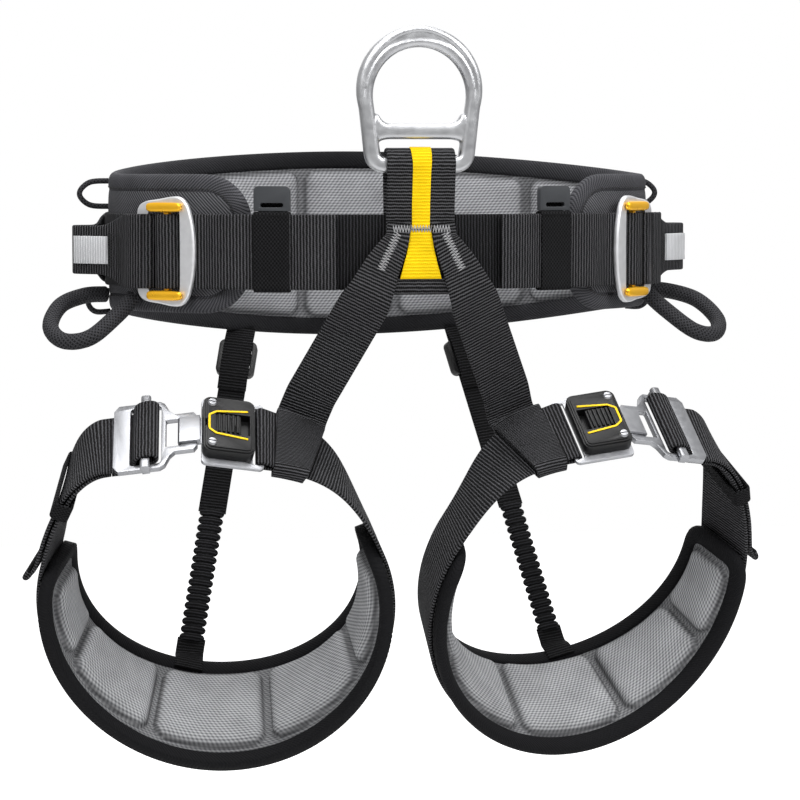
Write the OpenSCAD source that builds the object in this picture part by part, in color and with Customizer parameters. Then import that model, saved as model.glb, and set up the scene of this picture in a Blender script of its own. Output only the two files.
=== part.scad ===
// Seat harness for work at height: a padded belt with plate buckles, a forged ventral ring on
// webbing, and two padded leg loops with hook buckles, held up behind by elastic straps.
// Millimetres, +Z up, the wearer faces -Y and the wearer's left is +X.
// The origin is the middle of the waist opening, at the height of the belt's centre line.

/* [Belt] */
// Half of the belt's width across the hips, to the outer face of its shell
belt_half_w = 172; // [150:1:200]
// Half of the belt's depth from front to back, to the outer face of its shell
belt_half_d = 112; // [95:1:135]
// Height of the padded wings at the hips
wing_h = 84; // [74:1:100]
// Height of the pad at the middle of the back
back_h = 122; // [100:1:140]
// Angle round the belt from the front at which each padded wing ends
wing_end = 35; // [32:1:42]
// Corner radius of each wing
wing_r = 30; // [18:1:34]
// How far the wings sit above the webbing that crosses them
wing_lift = 4.5; // [0:0.5:7]
// Thickness of the belt's foam panels at the crown
belt_foam = 11; // [7:0.5:15]
// Thickness of the foam where it is sewn down, at channels and edges
sewn_foam = 4; // [3:0.5:6]
// Thickness of the fabric shell behind the foam
shell_t = 2.4; // [1.6:0.1:4]
// Width of the folded edge binding
bind_w = 11; // [7:0.5:13]
// Width of a sewn channel between two foam panels
channel_w = 9; // [5:0.5:12]

/* [Webbing] */
// Width of the belt and leg webbing
web_w = 45; // [38:1:48]
// Thickness of the webbing
web_t = 2.2; // [1.6:0.1:2.8]
// Width of the webbing on the ventral ring
ring_web_w = 42; // [34:1:44]
// Width of the risers between the ring and the legs
riser_w = 31; // [26:1:36]
// Angle round the belt at which the front tails end
tail_end = 13; // [9:1:18]

/* [Ventral ring] */
// Outer width of the forged ring
ring_w = 76; // [70:1:84]
// Height from the lower bar's centre to the crown
ring_h = 83; // [76:1:90]
// Diameter of the lower bar
ring_bar_d = 10; // [8:0.5:12]
// Height of the crossbar above the lower bar
ring_cross = 20; // [18:0.5:22]
// Height of the lower bar above the belt's centre line
ring_bar_z = 52; // [47:1:58]
// Thickness of the ring from front to back
ring_t = 9.5; // [8:0.5:11]

/* [Waist buckles] */
// Angle round the belt of each waist buckle
buckle_angle = 55; // [53:0.5:58]
// Length of the buckle plate along the belt
buckle_l = 42; // [40:1:46]
// Thickness of the buckle plate
plate_t = 3.6; // [3:0.1:4.4]
// Width of each side rail beside the webbing
rail_w = 6; // [5:0.5:8]
// How far the sliding bar travels
bar_travel = 2.5; // [1:0.1:2.6]

/* [Belt loops] */
// How far the lateral loops stand out from the belt
lateral_out = 25; // [20:1:32]
// Height of the lateral loop at its outer end
lateral_tip_h = 30; // [26:1:34]
// Diameter of the preformed gear loops
gear_d = 10; // [8:0.5:12]
// How far the gear loops stand out from the belt
gear_out = 46; // [40:1:54]
// Diameter of the thin tool-holder loops
tool_d = 3.5; // [3:0.5:5]
// Length of the elastic keepers along the belt
keeper_l = 22; // [16:1:26]

/* [Leg loops] */
// Radius of a leg loop to the outer face of its shell, at mid width
leg_r = 100; // [90:1:110]
// Distance of a leg loop's centre from the middle plane
leg_x = 113; // [112:1:125]
// Distance of a leg loop's centre in front of the origin
leg_y = 52; // [45:1:60]
// Depth of a leg loop's centre below the origin
leg_z = 203; // [195:1:212]
// How far the thigh points below the horizontal
thigh_drop = 27; // [22:1:32]
// How far the thigh points outwards
thigh_splay = 12; // [8:1:16]
// Angle at which the pad widens towards the knee
pad_flare = 13; // [8:1:17]
// Width of the leg pad at the middle
pad_w = 84; // [76:1:92]
// Width of the leg pad at its ends
pad_end_w = 58; // [54:1:66]
// How far the pad's middle lies ahead of the leg loop's centre, along the thigh
pad_ahead = 7; // [3:1:11]
// Angle from the lowest point to each end of the pad
pad_end = 108; // [100:1:114]
// How far the pad is turned round the thigh towards the middle
pad_lean = 4; // [0:1:8]
// Thickness of the leg foam panels at the crown
leg_foam = 12; // [8:0.5:15]

/* [Leg buckles] */
// Distance of the buckle from the leg loop's centre, along the thigh's outer side
leg_buckle_x = 17; // [12:1:22]
// Height of the buckle above the leg loop's centre
leg_buckle_q = 102; // [98:1:106]
// How far the strap turns to face forward at the buckle
buckle_turn = 15; // [10:1:20]
// How far the buckle slopes down towards the outer side
buckle_slope = 8; // [5:1:12]
// How far the hook plate bends down from the frame towards the inner side
hook_bend = 20; // [14:1:24]
// Length of the black cover
cover_l = 31; // [29:1:33]
// Height of the black cover across the strap
cover_w = 44; // [38:1:46]
// Travel of the sprung latch
latch_travel = 5; // [3:0.5:6]

/* [Rear straps] */
// Width of the rear leg straps
rear_w = 18; // [15:1:22]
// Distance of a rear strap from the middle, at the belt
rear_x = 75; // [66:1:82]
// Number of ribs on the elastic sleeve
ribs = 17; // [12:1:20]
// Share of the strap's length that the elastic sleeve covers
sleeve_share = 0.4; // [0.35:0.01:0.5]

/* [Hidden] */
clear = 0.3;
layer = web_t + clear;
round_n = 32;

function unit(v) = v / norm(v);
function ease(x) = let (c = min(max(x, 0), 1)) c * c * (3 - 2 * c);
function mix(a, b, f) = a + (b - a) * f;
function steps(a, b, n) = [for (i = [0 : n]) mix(a, b, i / n)];
function bezier(p, f) = let (g = 1 - f)
    g * g * g * p[0] + 3 * g * g * f * p[1] + 3 * g * f * f * p[2] + f * f * f * p[3];
function bezier_path(p, n) = [for (f = steps(0, 1, n)) bezier(p, f)];
// Smooth curve through points, n steps to a span
function spline(p, n) = let (last = len(p) - 1) [
    for (i = [0 : last - 1])
        let (before = p[max(i - 1, 0)], after = p[min(i + 2, last)],
             hold = [p[i], p[i] + (p[i + 1] - before) / 6, p[i + 1] - (after - p[i]) / 6, p[i + 1]])
            for (k = [0 : n - 1]) bezier(hold, k / n),
    p[last]];
function heading(path, i) = unit(path[min(i + 1, len(path) - 1)] - path[max(i - 1, 0)]);
function item(v, i) = is_num(v) ? v : is_list(v[0]) ? v[i] : v;
function size_at(v, i) = is_num(v) ? v : v[i];

// Corners of a strap along a path: wide is its width direction, one for all or one a point
function strap_rings(path, wide, w, t) = [
    for (i = [0 : len(path) - 1])
        let (along = heading(path, i), face = unit(cross(along, item(wide, i))),
             side = cross(face, along) * size_at(w, i) / 2, lift = face * t / 2)
            [for (q = [-side - lift, side - lift, side + lift, lift - side]) path[i] + q]];
// Rings of a round tube; square_to is a direction that the path never takes
function tube_rings(path, r, sides, square_to) = [
    for (i = [0 : len(path) - 1])
        let (along = heading(path, i), a = unit(cross(square_to, along)), b = cross(along, a))
            [for (k = [0 : sides - 1]) let (turn = k * 360 / sides)
                path[i] + size_at(r, i) * (cos(turn) * a + sin(turn) * b)]];

// Solid through a row of rings with equal point counts, triangles all over
module loft(rings, closed = false) {
    n = len(rings[0]);
    m = len(rings);
    last = (m - 1) * n;
    walls = [for (i = [0 : closed ? m - 1 : m - 2], j = [0 : n - 1])
        let (next = (j + 1) % n, after = (i + 1) % m * n,
             a = i * n + j, b = i * n + next, c = after + next, d = after + j)
            each [[d, c, b], [d, b, a]]];
    ends = closed ? [] : [for (j = [1 : n - 2]) each [[0, j, j + 1], [last, last + j + 1, last + j]]];
    polyhedron([for (r = rings) each r], concat(walls, ends), convexity = 10);
}
module strap(path, wide, w, t = web_t) {
    loft(strap_rings(path, wide, w, t));
}
// Puts a shape into a frame given by its origin and three axes
module place(o, x, y, z) {
    rows = [for (i = [0 : 2]) [x[i], y[i], z[i], o[i]]];
    multmatrix(concat(rows, [[0, 0, 0, 1]])) children();
}
// The wearer's left is the modelled side, and the right is its mirror
module side(s) {
    mirror([s < 0 ? 1 : 0, 0, 0]) children();
}
module bar(p, q, d) {
    v = q - p;
    translate(p) rotate([0, acos(v[2] / norm(v)), atan2(v[1], v[0])])
        cylinder(h = norm(v), d = d, $fn = round_n);
}
module rounded(size, r) {
    offset(r = r, $fn = round_n) square([size[0] - 2 * r, size[1] - 2 * r], center = true);
}

// The belt is an ellipse in plan; t is its angle from the front, off the distance outside its shell
function belt_along(t) = unit([belt_half_w * cos(t), belt_half_d * sin(t), 0]);
function belt_out(t) = unit([belt_half_d * sin(t), -belt_half_w * cos(t), 0]);
function belt_at(t, off = 0, z = 0) = [belt_half_w * sin(t), -belt_half_d * cos(t), z] + off * belt_out(t);
function belt_pace(t) = norm([belt_half_w * cos(t), belt_half_d * sin(t)]) * PI / 180;
// How far a rounded corner draws an edge in, at distance d from the corner's end
function corner(d, r) = d >= r ? 0 : r - sqrt(max(0, r * r - (r - d) * (r - d)));

// Belt pad
wing_pace = belt_pace(wing_end);
back_rise_from = 80;
function from_front(t) = min(t, 360 - t);
// Share of the way from the wings' form to the back's
function to_back(t) = ease((from_front(t) - back_rise_from) / (180 - back_rise_from));
function belt_edge(t, inset) = mix(wing_h, back_h, to_back(t)) / 2 - inset
    - corner((from_front(t) - wing_end) * wing_pace - inset, max(wing_r - inset, 1));
// Height of the pad's middle line: lifted at the wings, level with the webbing at the back
function pad_mid(t) = wing_lift * (1 - to_back(t));
function wing_start(inset) = wing_end + inset / wing_pace;
belt_channels = [66, 100, 136, 169];
panel_marks = [0, 0.05, 0.14, 0.3, 0.5, 0.7, 0.86, 0.95];
function panel_steps(edges) = let (last = len(edges) - 1) [
    for (i = [0 : last - 1]) each [for (f = panel_marks) mix(edges[i], edges[i + 1], f)],
    edges[last]];
pad_inset = bind_w + 3 * clear;
belt_panels = concat([wing_start(pad_inset)], belt_channels,
    [for (i = [len(belt_channels) - 1 : -1 : 0]) 360 - belt_channels[i]], [360 - wing_start(pad_inset)]);
pad_rows = 8;
foam_seat = -shell_t - clear;
// Foam thickness from 0 at a sewn line to 1 on the panel's crown
function crown(v, gap) = (1 - pow(abs(v), 4)) * sqrt(ease(gap / channel_w + 0.02));
function belt_gap(t) = min([for (c = belt_panels) abs(t - c) * belt_pace(t)]);
function belt_foam_ring(t) = let (h = belt_edge(t, pad_inset), swell = belt_foam - sewn_foam) concat(
    [for (v = steps(-1, 1, pad_rows))
        belt_at(t, foam_seat - sewn_foam - swell * crown(v, belt_gap(t)), pad_mid(t) + h * v)],
    [belt_at(t, foam_seat, pad_mid(t) + h), belt_at(t, foam_seat, pad_mid(t) - h)]);
module belt_foam_pad() {
    color("darkgray") loft([for (t = panel_steps(belt_panels)) belt_foam_ring(t)]);
}
module belt_shell() {
    color("dimgray") loft([for (t = panel_steps(belt_panels))
        let (h = belt_edge(t, pad_inset), low = pad_mid(t) - h, high = pad_mid(t) + h)
            [for (q = [[-shell_t, low], [-shell_t, high], [0, high], [0, low]]) belt_at(t, q[0], q[1])]]);
}
// Binding: a folded tape with a rounded section, carried round the edge of a pad
bind_t = shell_t + clear + sewn_foam + 1.6;
bind_section = [[-0.5, 0.4], [0.3, 0.5], [0.5, 0.2], [0.5, -0.2], [0.3, -0.5], [-0.5, -0.4]];
function bind_rings(path, face) = let (n = len(path)) [
    for (i = [0 : n - 1])
        let (along = unit(path[(i + 1) % n] - path[(i + n - 1) % n]), out = unit(cross(along, face[i])))
            [for (q = bind_section) path[i] + q[0] * bind_w * out + q[1] * bind_t * face[i]]];
bind_steps = let (a = wing_start(bind_w / 2), b = wing_start(wing_r))
    concat([for (f = [0, 0.12, 0.3, 0.6]) mix(a, b, f)], steps(b, 360 - b, 34),
        [for (f = [0.6, 0.3, 0.12, 0]) 360 - mix(a, b, f)]);
// A closed binding from its outward run and its return, both given in step with the faces
module binding(low, top, face) {
    back = [len(face) - 1 : -1 : 0];
    path = concat(low, [for (i = back) top[i]]);
    color("black") loft(bind_rings(path, concat(face, [for (i = back) face[i]])), closed = true);
}
module belt_binding() {
    off = -bind_t / 2;
    low = [for (t = bind_steps) belt_at(t, off, pad_mid(t) - belt_edge(t, bind_w / 2))];
    top = [for (t = bind_steps) belt_at(t, off, pad_mid(t) + belt_edge(t, bind_w / 2))];
    binding(low, top, [for (t = bind_steps) belt_out(t)]);
}

// Webbing that lies along the belt, layer 0 on the shell and layer 1 on top of it
function on_belt(t, layers) = belt_at(t, clear + web_t / 2 + layers * layer);
function belt_run(a, b, layers, n) = [for (t = steps(a, b, n)) on_belt(t, layers)];
up = [0, 0, 1];

// Waist buckle: x along the belt away from the front, y up, z out; z = 0 on the first layer's centre
waist_o = on_belt(buckle_angle, 0);
waist_x = belt_along(buckle_angle);
waist_z = belt_out(buckle_angle);
function waist_pt(x, z) = waist_o + x * waist_x + z * waist_z;
module at_waist_buckle() {
    place(waist_o, waist_x, up, waist_z) children();
}
// Strap adjuster, shared by the waist and leg buckles: the webbing comes in at -x under the land,
// turns round the sliding bar and leaves again under the land as the tail.
plate_z = layer + web_t / 2 + clear;
bar_z = plate_z + plate_t / 2;
bar_l = 6;
bar_t = 4.4;
land_x = -10;
turn_r = bar_t / 2 + clear + web_t / 2;
turn_x = bar_l / 2 - bar_t / 2 + bar_travel + 0.4;
function adjuster_roll(start, h) = concat(
    [[start, 0], [land_x, 0], [land_x + 5, 0.9], [-bar_l / 2, h - turn_r]],
    [for (a = steps(-90, 90, 6)) [turn_x + turn_r * cos(a), h + turn_r * sin(a)]],
    [[-1, h + turn_r], [-4.4, h + turn_r - 1.4], [-6.4, h], [-8, layer + 1],
     [land_x - 0.6, layer], [start, layer]]);
window_l = 23;
window_h = web_w / 2 + 3.5;
plate_h = window_h + rail_w;
lug_l = 28;
lug_w = 3.6;
lug_t = 2.6;
module slide_bar(end_l) {
    translate([0, 0, bar_z]) rotate([90, 0, 0]) linear_extrude(2 * window_h - 4 * clear, center = true)
        rounded([bar_l, bar_t], 1.8);
    for (s = [-1, 1]) {
        translate([0, s * (window_h - clear - 1.1), bar_z + (plate_t + lug_t) / 4])
            cube([bar_l + 2 * clear, 2.2, (plate_t + lug_t) / 2 + 2], center = true);
        translate([0, s * (window_h - clear - 1.4 + lug_w / 2 + 1), plate_z + plate_t + clear])
            linear_extrude(lug_t) rounded([end_l, lug_w + 2], 2.4);
    }
}

module waist_plate() {
    bulge_r = 84;
    color("silver") at_waist_buckle() translate([0, 0, plate_z]) linear_extrude(plate_t) difference() {
        intersection() {
            offset(r = 4, $fn = round_n) offset(delta = -4)
                translate([-buckle_l / 2 + 0.5, -plate_h]) square([buckle_l, 2 * plate_h]);
            translate([bulge_r - buckle_l / 2 + 0.5, 0]) circle(r = bulge_r, $fn = 96);
        }
        translate([land_x + window_l / 2, 0]) rounded([window_l, 2 * window_h], 2);
    }
}
module waist_slider() {
    color("goldenrod") at_waist_buckle() slide_bar(lug_l);
}
// Belly webbing lies under the tails and meets each tail's roll end to end
tail_join = -buckle_l / 2 - 3;
join_t = buckle_angle + tail_join / belt_pace(buckle_angle);
module belly_webbing() {
    color("black") strap(belt_run(-join_t + 0.3, join_t - 0.3, 0, 40), up, web_w);
}
module belly_tail() {
    roll = adjuster_roll(tail_join + 4, bar_z);
    path = concat([on_belt(join_t, 0)], [for (q = roll) waist_pt(q[0], q[1])],
        belt_run(join_t, tail_end, 1, 16));
    color("black") strap(path, up, web_w);
}

// Lateral loop: one webbing from the shell round the buckle's outer bar and out into a standing loop
outer_bar_x = land_x + window_l;
outer_bar_mid = (outer_bar_x + buckle_l / 2 + 0.5) / 2;
lateral_from = 106;
lateral_peak = 86;
lateral_turn_r = plate_t / 2 + clear + web_t / 2;
lateral_turn_x = outer_bar_x - clear + 0.7;
function lateral_path() = concat(
    belt_run(lateral_from, buckle_angle + 14, 0, 10),
    [waist_pt(outer_bar_mid + 6, bar_z - lateral_turn_r), waist_pt(outer_bar_mid, bar_z - lateral_turn_r)],
    [for (a = steps(-90, -270, 6))
        waist_pt(lateral_turn_x + lateral_turn_r * cos(a), bar_z + lateral_turn_r * sin(a))],
    [waist_pt(outer_bar_mid + 1, bar_z + lateral_turn_r)],
    spline([waist_pt(outer_bar_mid + 5, bar_z + lateral_turn_r), belt_at(lateral_peak - 15, 9.5),
        belt_at(lateral_peak - 8, lateral_out * 0.62), belt_at(lateral_peak - 2, lateral_out - 1),
        belt_at(lateral_peak + 1.5, lateral_out - 3), belt_at(lateral_peak + 2, lateral_out - 10),
        belt_at(lateral_peak + 4, 8), belt_at(lateral_peak + 10, 2 * layer - web_t / 2 + 0.4),
        on_belt(lateral_from, 1)], 4));
// The loop narrows as it stands away from the belt
function lateral_w(p) = let (stand = norm([p[0] / belt_half_w, p[1] / belt_half_d]) - 1.03)
    mix(web_w, lateral_tip_h, ease(stand / 0.09));
module lateral_loop() {
    path = lateral_path();
    color("black") strap(path, up, [for (p = path) lateral_w(p)]);
}
band_w = 17;
band_t = 0.8;
module lateral_band() {
    path = lateral_path();
    lift = web_t / 2 + clear + band_t / 2;
    first = len(path) - 27;
    on_tip = [for (i = [first : first + 6]) path[i] + lift * unit(cross(heading(path, i), up))];
    color("lightgray") strap(on_tip, up, band_w, band_t);
}
module rear_webbing() {
    color("black") strap(belt_run(lateral_from + 1, 359 - lateral_from, 0, 36), up, web_w);
}

// Gear and tool loops, from points given as angle round the belt, distance out and height
function belt_points(p) = [for (q = p) belt_at(q[0], q[1], q[2])];
gear_top = -web_w / 2 - gear_d / 2 - 3 * clear;
gear_route = [[68, 0.4 * gear_d, gear_top], [68.5, 0.36 * gear_out, gear_top - 11],
    [70, 0.74 * gear_out, gear_top - 24], [74, 0.98 * gear_out, gear_top - 26],
    [79, gear_out, gear_top - 18], [84, 0.74 * gear_out, gear_top - 6],
    [88, 0.36 * gear_out, gear_top - 0.5], [91, 0.28 * gear_d, gear_top]];
module gear_loop() {
    square_to = unit(belt_out(76) + up);
    color("black") loft(tube_rings(spline(belt_points(gear_route), 4), gear_d / 2, 8, square_to));
}
tool_seat = 0.25 * tool_d;
tool_routes = [
    [[101, 0, 42], [100, 12, 41], [99, 18, 34], [100, 12, 27], [102, 0, 26]],
    [[101, 0, -27], [100, 9, -28], [99, 13, -34], [100, 9, -40], [102, 0, -40]]];
module tool_loops() {
    color("black") for (s = [-1, 1], route = tool_routes) {
        seated = [for (q = route) q + [0, tool_seat, 0]];
        side(s) loft(tube_rings(spline(belt_points(seated), 3), tool_d / 2, 6, belt_along(100)));
    }
}

// Elastic keeper round the belly webbing and its tail, with a moulded clip above it
keeper_angle = 30;
keeper_t = 1.3;
keeper_h = web_w + 2 * clear + 2 * keeper_t;
keeper_half = keeper_l / 2 / belt_pace(keeper_angle);
function keeper_side(from, to, off) = [for (t = steps(keeper_angle + from, keeper_angle + to, 6))
    let (p = belt_at(t, off)) [p[0], p[1]]];
function keeper_outline(a, b) =
    concat(keeper_side(-keeper_half, keeper_half, a), keeper_side(keeper_half, -keeper_half, b));
keeper_out = 2 * layer + clear;
module keeper() {
    color("black") difference() {
        linear_extrude(keeper_h, center = true) polygon(keeper_outline(-keeper_t, keeper_out + keeper_t));
        linear_extrude(keeper_h - 2 * keeper_t, center = true) polygon(keeper_outline(0, keeper_out));
    }
}
clip_h = 15;
clip_t = 4;
module keeper_clip() {
    o = belt_at(keeper_angle, keeper_out / 2, keeper_h / 2 + clear);
    color("gray") place(o, belt_along(keeper_angle), up, belt_out(keeper_angle))
        linear_extrude(clip_t, center = true) difference() {
            union() {
                translate([0, clip_h / 2 + 2]) rounded([keeper_l, clip_h - 4], 3);
                translate([-keeper_l / 2, 0]) square([keeper_l, clip_h / 2]);
            }
            translate([0, 3.6]) rounded([keeper_l - 8, 2.6], 1.2);
        }
}

// Ventral ring: a forged D with a crossbar, standing on its round lower bar
ring_o = [0, -belt_half_d - clear - web_t / 2, ring_bar_z];
ring_eye_r = ring_w / 2 - 9;
ring_mid = ring_h - ring_w / 2;
eye_mid = ring_mid - 4;
foot_x = ring_w / 2 - 9;
cross_h = 9.5;
eye_corner = 6;
// Centre line and half width of the limb at angle a from +X
function limb(a) = let (out = [0, ring_mid] + ring_w / 2 * [cos(a), sin(a)],
                        in = [0, eye_mid] + ring_eye_r * [cos(a), sin(a)])
    [(out + in) / 2, norm(out - in) / 2];
ring_limb = concat([[[foot_x, 0], 4.8], [[foot_x + 0.6, ring_cross * 0.55], 4.9]],
    [for (a = steps(-12, 192, 26)) limb(a)],
    [[[-foot_x - 0.6, ring_cross * 0.55], 4.9], [[-foot_x, 0], 4.8]]);
// Crossbar in front view, with the eye's rounded corners above it and the webbing's slot below
module crossbar() {
    low = ring_cross - cross_h / 2;
    difference() {
        translate([-foot_x, low]) square([2 * foot_x, cross_h / 2 + eye_corner + 4]);
        offset(r = eye_corner, $fn = round_n) offset(delta = -eye_corner) intersection() {
            translate([0, eye_mid]) circle(r = ring_eye_r, $fn = 96);
            translate([-ring_w / 2, low + cross_h]) square([ring_w, ring_h]);
        }
    }
}
// A rounded section: a circle's sine or cosine drawn out towards a square's
function squared(c) = sign(c) * pow(abs(c), 0.75);
module ventral_ring() {
    line = [for (q = ring_limb) [q[0][0], 0, q[0][1]]];
    rings = [for (i = [0 : len(line) - 1])
        let (out = ring_limb[i][1] * cross([0, 1, 0], heading(line, i)), deep = [0, ring_t / 2, 0])
            [for (k = [0 : 11]) line[i] + squared(cos(k * 30)) * out + squared(sin(k * 30)) * deep]];
    color("silver") translate(ring_o) {
        loft(rings);
        bar([-foot_x - 1, 0, 0], [foot_x + 1, 0, 0], ring_bar_d);
        rotate([90, 0, 0]) linear_extrude(ring_t - 1.5, center = true) crossbar();
    }
}
// Ring webbing: down the front, round the ring's bar, down behind the belt and under it
ring_turn_r = ring_bar_d / 2 + 0.5 + web_t / 2;
front_y = -belt_half_d - 2 * layer + web_t / 2 - clear;
back_y = -belt_half_d + web_t / 2 + 5 * clear;
under_z = -web_w / 2 - 3 * clear - web_t / 2;
yoke_z = 14;
function in_front(y, z) = [0, y, z];
module ring_strap() {
    path = concat(
        [in_front(front_y, yoke_z - 12), in_front(front_y, yoke_z), in_front(front_y - 0.4, yoke_z + 14)],
        [for (a = steps(200, -20, 10)) ring_o + ring_turn_r * [0, cos(a), sin(a)]],
        [in_front(back_y + 1, yoke_z + 12), in_front(back_y, yoke_z), in_front(back_y, 0),
         in_front(back_y, under_z + 3), in_front(back_y - 1, under_z + 0.8), in_front(back_y - 2.4, under_z),
         in_front(front_y + 2.4, under_z), in_front(front_y + 1, under_z + 0.8),
         in_front(front_y, under_z + 3), in_front(front_y, under_z + 9)]);
    color("black") strap(path, [1, 0, 0], ring_web_w);
}
// Yellow stripe down the ring webbing and the insert between the risers
stripe_w = 13;
riser_face_y = front_y - layer;
stripe_t = 0.6;
stripe_lift = web_t / 2 + clear / 2 + stripe_t / 2;
// Height and width of the insert, from the bar tack down
insert = [[yoke_z - 4, 10], [yoke_z - 16, 16], [under_z + 6, 24]];
module ring_stripe() {
    face_y = front_y - stripe_lift;
    path = concat(
        [for (a = steps(100, 200, 6)) ring_o + (ring_turn_r + stripe_lift) * [0, cos(a), sin(a)]],
        [in_front(face_y - 0.4, yoke_z + 14), in_front(face_y, yoke_z + 4)]);
    color("gold") {
        strap(path, [1, 0, 0], [for (i = [0 : 8]) mix(stripe_w, stripe_w - 2, i / 8)], stripe_t);
        strap([for (q = insert) in_front(face_y, q[0])], [1, 0, 0], [for (q = insert) q[1]], stripe_t);
    }
}

// Leg loop frame: p outboard, q up the loop's plane, d along the thigh towards the knee
leg_o = [leg_x, -leg_y, -leg_z];
leg_w = [cos(thigh_splay), sin(thigh_splay), 0];
leg_d = [sin(thigh_splay) * cos(thigh_drop), -cos(thigh_splay) * cos(thigh_drop), -sin(thigh_drop)];
leg_e = cross(leg_d, leg_w);
function leg_out(a) = sin(a - pad_lean) * leg_w - cos(a - pad_lean) * leg_e;
function leg_along(a) = cos(a - pad_lean) * leg_w + sin(a - pad_lean) * leg_e;
// Point of the pad: a from the lowest point outwards, s from its middle line, off outside the shell
function pad_at(a, s, off) = let (ahead = s + pad_ahead)
    leg_o + (leg_r + ahead * sin(pad_flare) + off * cos(pad_flare)) * leg_out(a)
    + (ahead * cos(pad_flare) - off * sin(pad_flare)) * leg_d;
pad_wide = [for (a = [-pad_end, pad_end]) unit(cos(pad_flare) * leg_d + sin(pad_flare) * leg_out(a))];
pad_pace = leg_r * PI / 180;
pad_corner = 16;
function pad_edge(a, inset) = mix(pad_w, pad_end_w, ease(abs(a) / pad_end)) / 2 - inset
    - corner((pad_end - abs(a)) * pad_pace - inset, max(pad_corner - inset, 1));
leg_channels = [-58, -14, 30, 70];
pad_reach = pad_end - pad_inset / pad_pace;
leg_panels = concat([-pad_reach], leg_channels, [pad_reach]);
function leg_gap(a) = min([for (c = leg_panels) abs(a - c) * pad_pace]);
module leg_foam_pad() {
    color("darkgray") loft([for (a = panel_steps(leg_panels)) let (h = pad_edge(a, pad_inset)) concat(
        [for (v = steps(-1, 1, pad_rows))
            pad_at(a, h * v, foam_seat - sewn_foam - (leg_foam - sewn_foam) * crown(v, leg_gap(a)))],
        [pad_at(a, h, foam_seat), pad_at(a, -h, foam_seat)])]);
}
module leg_shell() {
    color("black") loft([for (a = panel_steps(leg_panels)) let (h = pad_edge(a, pad_inset))
        [pad_at(a, -h, -shell_t), pad_at(a, h, -shell_t), pad_at(a, h, 0), pad_at(a, -h, 0)]]);
}
leg_bind_steps = let (b = pad_end - pad_corner / pad_pace, a = pad_end - bind_w / 2 / pad_pace)
    concat([for (f = [0, 0.15, 0.5]) -mix(a, b, f)], steps(-b, b, 24),
        [for (f = [0.5, 0.15, 0]) mix(a, b, f)]);
module leg_binding() {
    off = -bind_t / 2;
    back = [for (a = leg_bind_steps) pad_at(a, -pad_edge(a, bind_w / 2), off)];
    front = [for (a = leg_bind_steps) pad_at(a, pad_edge(a, bind_w / 2), off)];
    binding(back, front, [for (a = leg_bind_steps) cos(pad_flare) * leg_out(a) - sin(pad_flare) * leg_d]);
}

// Leg buckle frame: x outboard along the strap, y towards the hip, z out; z = 0 on the strap's centre
buckle_x = cos(buckle_slope) * leg_w - sin(buckle_slope) * leg_e;
buckle_up = sin(buckle_slope) * leg_w + cos(buckle_slope) * leg_e;
buckle_y = -cos(buckle_turn) * leg_d + sin(buckle_turn) * buckle_up;
buckle_z = cross(buckle_x, buckle_y);
buckle_o = leg_o + leg_buckle_x * leg_w + leg_buckle_q * leg_e;
function buckle_pt(x, z) = buckle_o + x * buckle_x + z * buckle_z;
module at_leg_buckle() {
    place(buckle_o, buckle_x, buckle_y, buckle_z) children();
}
frame_l = 42;
base_t = 2;
plate_mid = plate_z + plate_t / 2;
cover_x0 = -frame_l;
cover_x1 = cover_x0 + cover_l;
// Hook plate frame: the buckle's frame turned by the bend, about a line across the front of the cover
hook_x = cos(hook_bend) * buckle_x + sin(hook_bend) * buckle_z;
hook_z = cos(hook_bend) * buckle_z - sin(hook_bend) * buckle_x;
hook_o = buckle_pt(cover_x1, plate_mid);
function hook_pt(x, z) = hook_o + (x - cover_x1) * hook_x + (z - plate_mid) * hook_z;
module at_hook_plate() {
    place(hook_pt(0, 0), hook_x, buckle_y, hook_z) children();
}
fold_x = -frame_l - 5;
fold_r = base_t / 2 + 2 * clear + web_t / 2;
leg_rail = 3.5;
frame_window = web_w / 2 + 0.8;
frame_h = frame_window + leg_rail;
leg_bar_z = plate_z + plate_t + clear + bar_t / 2;
roll_mid = 22;
// The leg adjuster is the waist adjuster turned round: its webbing comes in from the outboard side
function leg_roll(start) = [for (q = adjuster_roll(start, leg_bar_z)) buckle_pt(roll_mid - q[0], q[1])];
function leg_webbing_point(a) = pad_at(a, 0, 2 * clear + web_t / 2);
strap_lead = 3;
outer_curve = let (p = leg_webbing_point(pad_end), q = buckle_pt(frame_l + strap_lead, 0))
    [p, p + 30 * leg_along(pad_end), q + 23 * buckle_x, q];
inner_curve = let (p = hook_pt(-frame_l - 8, plate_mid - fold_r), q = leg_webbing_point(-pad_end))
    [p, p - 36 * hook_x, q - 40 * leg_along(-pad_end), q];
strap_n = 14;
// Width directions along the strap, turned from the pad to the buckle
function turned(a, b, n) = [for (f = steps(0, 1, n)) unit(mix(a, b, ease(f)))];
outer_wide = turned(pad_wide[1], -buckle_y, strap_n);
inner_wide = turned(-buckle_y, pad_wide[0], strap_n);
function strap_out(path, wide, i) = unit(cross(heading(path, i), wide[i]));
under_n = 36;
tail_lift = layer + 3 * clear;
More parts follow.
